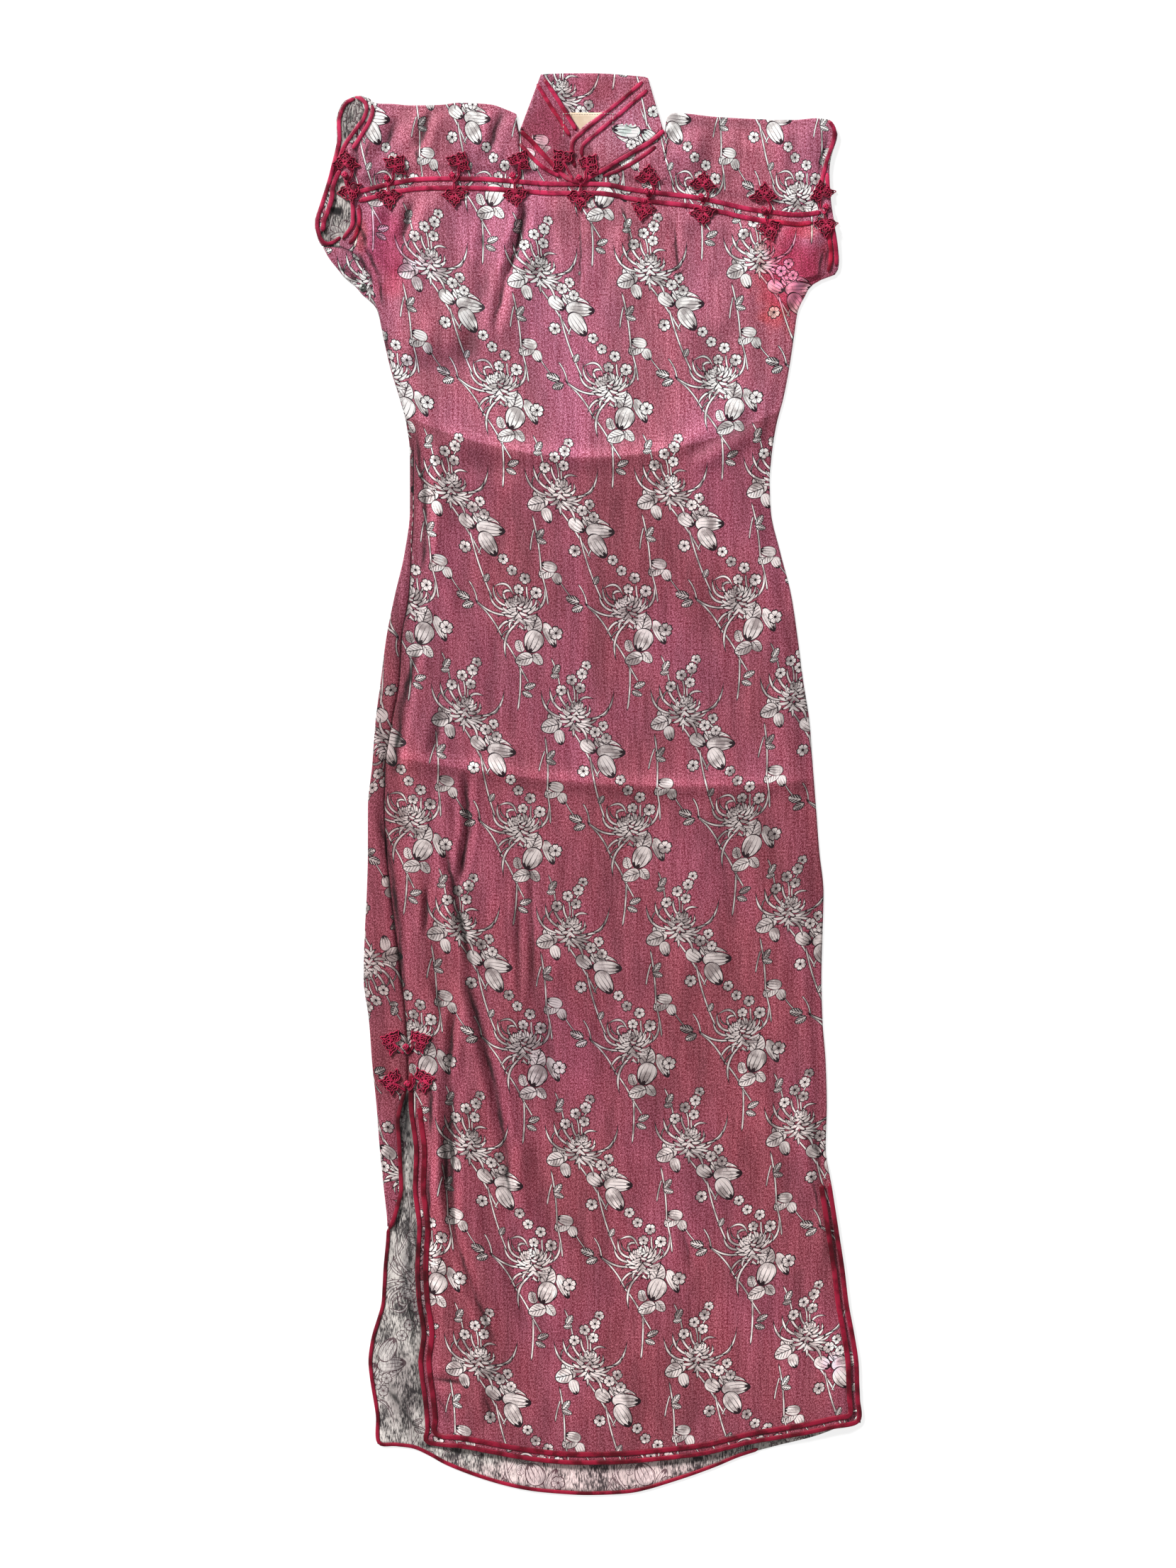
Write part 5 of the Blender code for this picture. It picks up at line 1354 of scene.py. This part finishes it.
pipe("skirt_piping_edge", skirtPath(2.2, -262))
pipe("skirt_piping_inner", skirtPath(9.8, -284), narrow=1.14)
pipe("slit_piping_back", [(turnedEdge(y) - 1.4, y) for y in (-285, -298, -311, -325, -338, -358, -377, -390)]
     + [(-179.6, -403.0), (-184.2, -413.0)], narrow=0.88)
backSlit = (-412, -424, -436, -449, -466, -482, -496, -509, -522, -535, -548, -561, -574, -587)
backHemX = (-178, -161, -146, -132, -112, -91, -70, -49, -24, 2, 36, 55, 73, 96, 119, 138, 158)
pipe("back_piping", [(leftSide(y) + 1.4, y) for y in backSlit] + [(-193.6, -610.2)]
     + [(x, backHem(x) + 1.4) for x in backHemX], narrow=0.8)
print("piping sewn on")

# flower on the yoke | knot | flower on the front, for each frog from the left cuff to the right one
frogs = (
    ((-224.5, 575.5), (-224.5, 563.5), (-220.5, 549.5)), ((-177.5, 573.0), (-186.0, 561.0), (-184.5, 544.5)),
    ((-119.5, 575.5), (-125.5, 564.0), (-123.5, 545.5)), ((-63.5, 576.5), (-69.5, 563.5), (-67.0, 545.5)),
    ((0.5, 573.0), (-8.0, 561.0), (-7.5, 543.5)), ((56.0, 562.0), (54.5, 548.5), (51.5, 533.0)),
    ((106.5, 556.0), (105.0, 543.5), (107.0, 528.5)), ((163.5, 545.5), (163.0, 531.5), (168.0, 515.0)),
    ((217.5, 547.5), (221.0, 534.5), (220.5, 518.0)),
)
# angle and reach of the folded strip in each of a flower's three petals: the outer loop, then the inner one
petal = {
    "outer": ((-140, 0.12), (-60, 0.34), (-47, 0.58), (-31, 0.74), (-17, 0.7), (-8, 0.84), (0, 1.04),
              (8, 0.84), (17, 0.7), (31, 0.74), (47, 0.58), (60, 0.34), (140, 0.12)),
    "middle": ((-125, 0.1), (-48, 0.28), (-37, 0.45), (-23, 0.54), (-10, 0.52), (0, 0.74), (10, 0.52), (23, 0.54),
               (37, 0.45), (48, 0.28), (125, 0.1)),
    "inner": ((-100, 0.07), (-30, 0.22), (-18, 0.34), (0, 0.44), (18, 0.34), (30, 0.22), (100, 0.07)),
}


def flower(centre, away, seed):
    # the folded strips of three petals, and a dark sheet of painted shadow between their folds
    paths, shadowBeds = [], []
    for k, lobe in enumerate((-98, 0, 98)):
        swing = lobe + 11 * ripple(seed, k * 3.1, 1.7)
        size = cord["flower"] * (0.98 + 0.16 * ripple(k * 2.3, seed, 1.3))

        def spot(turn, reach):
            a = away + math.radians(swing + turn)
            reach *= size * (1 + 0.16 * ripple(turn * 0.05, reach, 0.6, seed + k))
            return centre[0] + reach * math.cos(a), centre[1] + reach * math.sin(a)

        for loop in petal.values():
            paths.append(laid([spot(turn, reach) for turn, reach in loop], 0.8, 0.5, cord["tall"]))
        shadowBeds.append(laid([spot(0, 0.1), spot(0, 0.5), spot(0, 0.86)], 1.0, 3.0, 0.4))
    return paths, shadowBeds


def facing(centre, knot):
    # which way the flower points, and the side of the knot that its stem is on
    return math.atan2(centre[1] - knot[1], centre[0] - knot[0]), 1 if centre[0] >= knot[0] else -1


def frogKnot(name, centre, knot, seed):
    # a flower, its double stem, and the woven ball beside the stem
    away, hand = facing(centre, knot)
    paths, shadowBeds = flower(centre, away, seed)
    x, y = knot
    for off in (-0.75, 0.75):
        stem = [centre, (x + hand * (6.0 + off), y + 5), (x + hand * (6.2 + off), y + 1),
                (x + hand * (4.0 + off), y - 3.5), (x + hand * (1.6 + off * 0.4), y - 7)]
        paths.append(laid(stem, 0.9, 0.6, 0.75))
        tail = [(x + off, y - 1), (x + hand * 0.8 + off, y - 4), (x + hand * 1.8 + off * 0.3, y - 7)]
        paths.append(laid(tail, 0.9, 0.6, 0.9))
    middle = Vector((x, y, topAt(x, y) + cord["ball"] * 0.92))
    weaveBall = []
    for k in range(97):
        t = 2 * math.pi * k / 96
        lat = math.radians(54) * math.sin(4 * t)
        r = cord["ball"] * (0.86 + 0.08 * math.cos(12 * t))
        way = Vector((math.cos(lat) * math.cos(3 * t), math.cos(lat) * math.sin(3 * t), math.sin(lat)))
        weaveBall.append(middle + r * way)

    def core(bm):
        made = bmesh.ops.create_uvsphere(bm, u_segments=14, v_segments=9, radius=cord["ball"] * 0.8 * mm)["verts"]
        bmesh.ops.translate(bm, verts=made, vec=middle * mm)

    sewn(name, paths, shadowBeds, [weaveBall], core)


def frogLoop(name, centre, knot, seed):
    # a flower, and a double stem that the ball is buttoned through
    away, hand = facing(centre, knot)
    paths, shadowBeds = flower(centre, away, seed)
    top = (knot[0] + hand * 1.6, knot[1] - 6.5)
    lean = Vector((math.cos(away), math.sin(away)))
    side = Vector((-lean.y, lean.x))
    for off in (-0.8, 0.8):
        stem = [centre, Vector(centre).lerp(Vector(top), 0.5) + side * off, Vector(top) + side * off * 0.7]
        paths.append(laid(stem, 0.9, 0.6, 1.0))
    sewn(name, paths, shadowBeds)


def sewn(name, paths, shadowBeds, balls=(), core=None):
    # one half of a frog as one piece
    bm = bmesh.new()
    thread = bm.loops.layers.uv.new("weave")
    # painted shadow: dark sheets between the petals' folds, in the second finish
    for points in shadowBeds:
        for vert in sweep(bm, points, cord["shadowBed"], 0.5, 10, thread):
            for face in vert.link_faces:
                face.material_index = 1
    for points in paths:
        sweep(bm, points, cord["half"], cord["tall"], 6, thread)
    for points in balls:
        sweep(bm, points, cord["strand"], cord["strand"], 6, thread, upright=False)
    if core:
        core(bm)
    closeUp(bm)
    plain = name.replace("_knot", "Knot").replace("_loop", "Loop")
    stackUp(shown(plain, meshOf(bm, name), cordLook, [name], cordShade))


for number, (upper, knot, lower) in enumerate(frogs, 1):
    frogLoop(f"frog_{number}_loop", lower, knot, number * 1.37)
    frogKnot(f"frog_{number}_knot", upper, knot, number * 2.11)
frogLoop("collar_frog_loop", (-23.0, 578.0), (-12.5, 566.5), 3.3)
# the two at the slit: flower on the strip | knot | flower on the front
slitFrogs = (
    ((-181.0, -239.0), (-168.5, -243.5), (-156.5, -238.0)), ((-181.0, -276.0), (-167.0, -277.5), (-153.0, -274.0)),
)
for number, (outer, knot, inner) in enumerate(slitFrogs, 1):
    frogLoop(f"slit_frog_{number}_loop", outer, knot, number + 0.4)
    frogKnot(f"slit_frog_{number}_knot", inner, knot, number + 7.7)
print("frogs sewn on")

snapHigh = 1.1
# share of the radius | share of the height, from the middle out and back underneath
snapProfile = ((0, 0.5), (0.18, 0.5), (0.24, 0.95), (0.42, 1.0), (0.5, 0.55), (0.88, 0.45), (1, 0.25), (1, 0), (0, 0))


def snapDisc(name, centre, radius):
    x, y = centre
    z = 0.1 + max(topAt(x + radius * a, y + radius * b) for a, b in ((0, 0), (1, 0), (-1, 0), (0, 1), (0, -1)))
    bm = bmesh.new()
    rim = [bm.verts.new(((x + a * radius) * mm, y * mm, (z + b * snapHigh) * mm)) for a, b in snapProfile]
    edges = [bm.edges.new(pair) for pair in zip(rim, rim[1:])]
    bmesh.ops.spin(bm, geom=rim + edges, cent=(x * mm, y * mm, 0), axis=(0, 0, 1), angle=2 * math.pi, steps=24,
                   use_merge=True)
    closeUp(bm)
    shown(name + "Disc", meshOf(bm, name), metal, [name])


snapDisc("underarm_snap", (-208.5, 460.0), 3.6)
snapDisc("waist_snap", (-155.0, 286.0), 2.0)

# pale stitches beside the left seam and round the label
stitch = {"half": 0.28, "rise": 0.22, "step": 0.8}


def stitches(name, path, size, gap):
    points = laid(path, stitch["step"], 0.4, 0.15)
    run, skip = (max(1, round(length / stitch["step"])) for length in (size, gap))
    dashes = [points[k:k + run + 1] for k in range(0, len(points) - run, run + skip)]
    tubes(name, dashes, stitch["half"], stitch["rise"], 6, paleThread, ())


low, high = label["low"] + 1, label["high"] - 1
stitches("sideStitches", [(-161.6, 266.7), (-161.6, 253.6), (-162.9, 237.2), (-163.6, 220.8), (-161.6, 207.6)], 4, 4)
stitches("labelStitchesLeft", [(label["left"] + 1.5, low), (label["left"] + 1.5, high)], 2.4, 1.6)
stitches("labelStitchesTop", [(label["left"] + 1, high - 0.6), (label["right"] - 1, high - 0.6)], 1.6, 0.8)
stitches("labelStitchesRight", [(label["right"] - 1.5, low), (label["right"] - 1.5, high)], 2.4, 1.6)
print("snaps and stitches")

# camera, light and the surface that it lies on
view = {"lens": 85.0, "sensor": 36.0, "from": (0.0003, 0.0, 3.434)}
light = {"around": 0.3, "key": 4.6, "soft": 14.0, "from": (-0.62, 0.74, 0.62)}
scene = bpy.context.scene
camera = bpy.data.objects.new("camera", bpy.data.cameras.new("camera"))
camera.data.lens, camera.data.sensor_width = view["lens"], view["sensor"]
camera.location = view["from"]
scene.camera = camera

world = bpy.data.worlds.new("studio")
world.use_nodes = True
around = world.node_tree.nodes["Background"].inputs
around[0].default_value, around[1].default_value = (1.0, 1.0, 1.0, 1.0), light["around"]
scene.world = world
key = bpy.data.objects.new("keyLight", bpy.data.lights.new("keyLight", "SUN"))
key.data.energy, key.data.angle = light["key"], math.radians(light["soft"])
key.location = light["from"]
key.rotation_euler = (-Vector(light["from"])).to_track_quat("-Z", "Y").to_euler()

paleFloor = {"half": 4.0, "below": 0.0002, "grey": 0.30, "glow": 0.78}
bm = bmesh.new()
bmesh.ops.create_grid(bm, x_segments=1, y_segments=1, size=paleFloor["half"])
bmesh.ops.translate(bm, verts=bm.verts, vec=(0, 0, -paleFloor["below"]))
floor = bpy.data.objects.new("paleFloor", meshOf(bm, "paleFloor"))
floorLook, floorShader = finish("paleFloor", 0.9, Emission_Strength=paleFloor["glow"])[::2]
for socket, level in (("Base Color", paleFloor["grey"]), ("Emission Color", 1.0)):
    floorShader.inputs[socket].default_value = (level, level, level, 1.0)
floor.data.materials.append(floorLook)
for thing in (camera, key, floor):
    scene.collection.objects.link(thing)
scene.view_settings.view_transform = "Standard"

print("laid out")
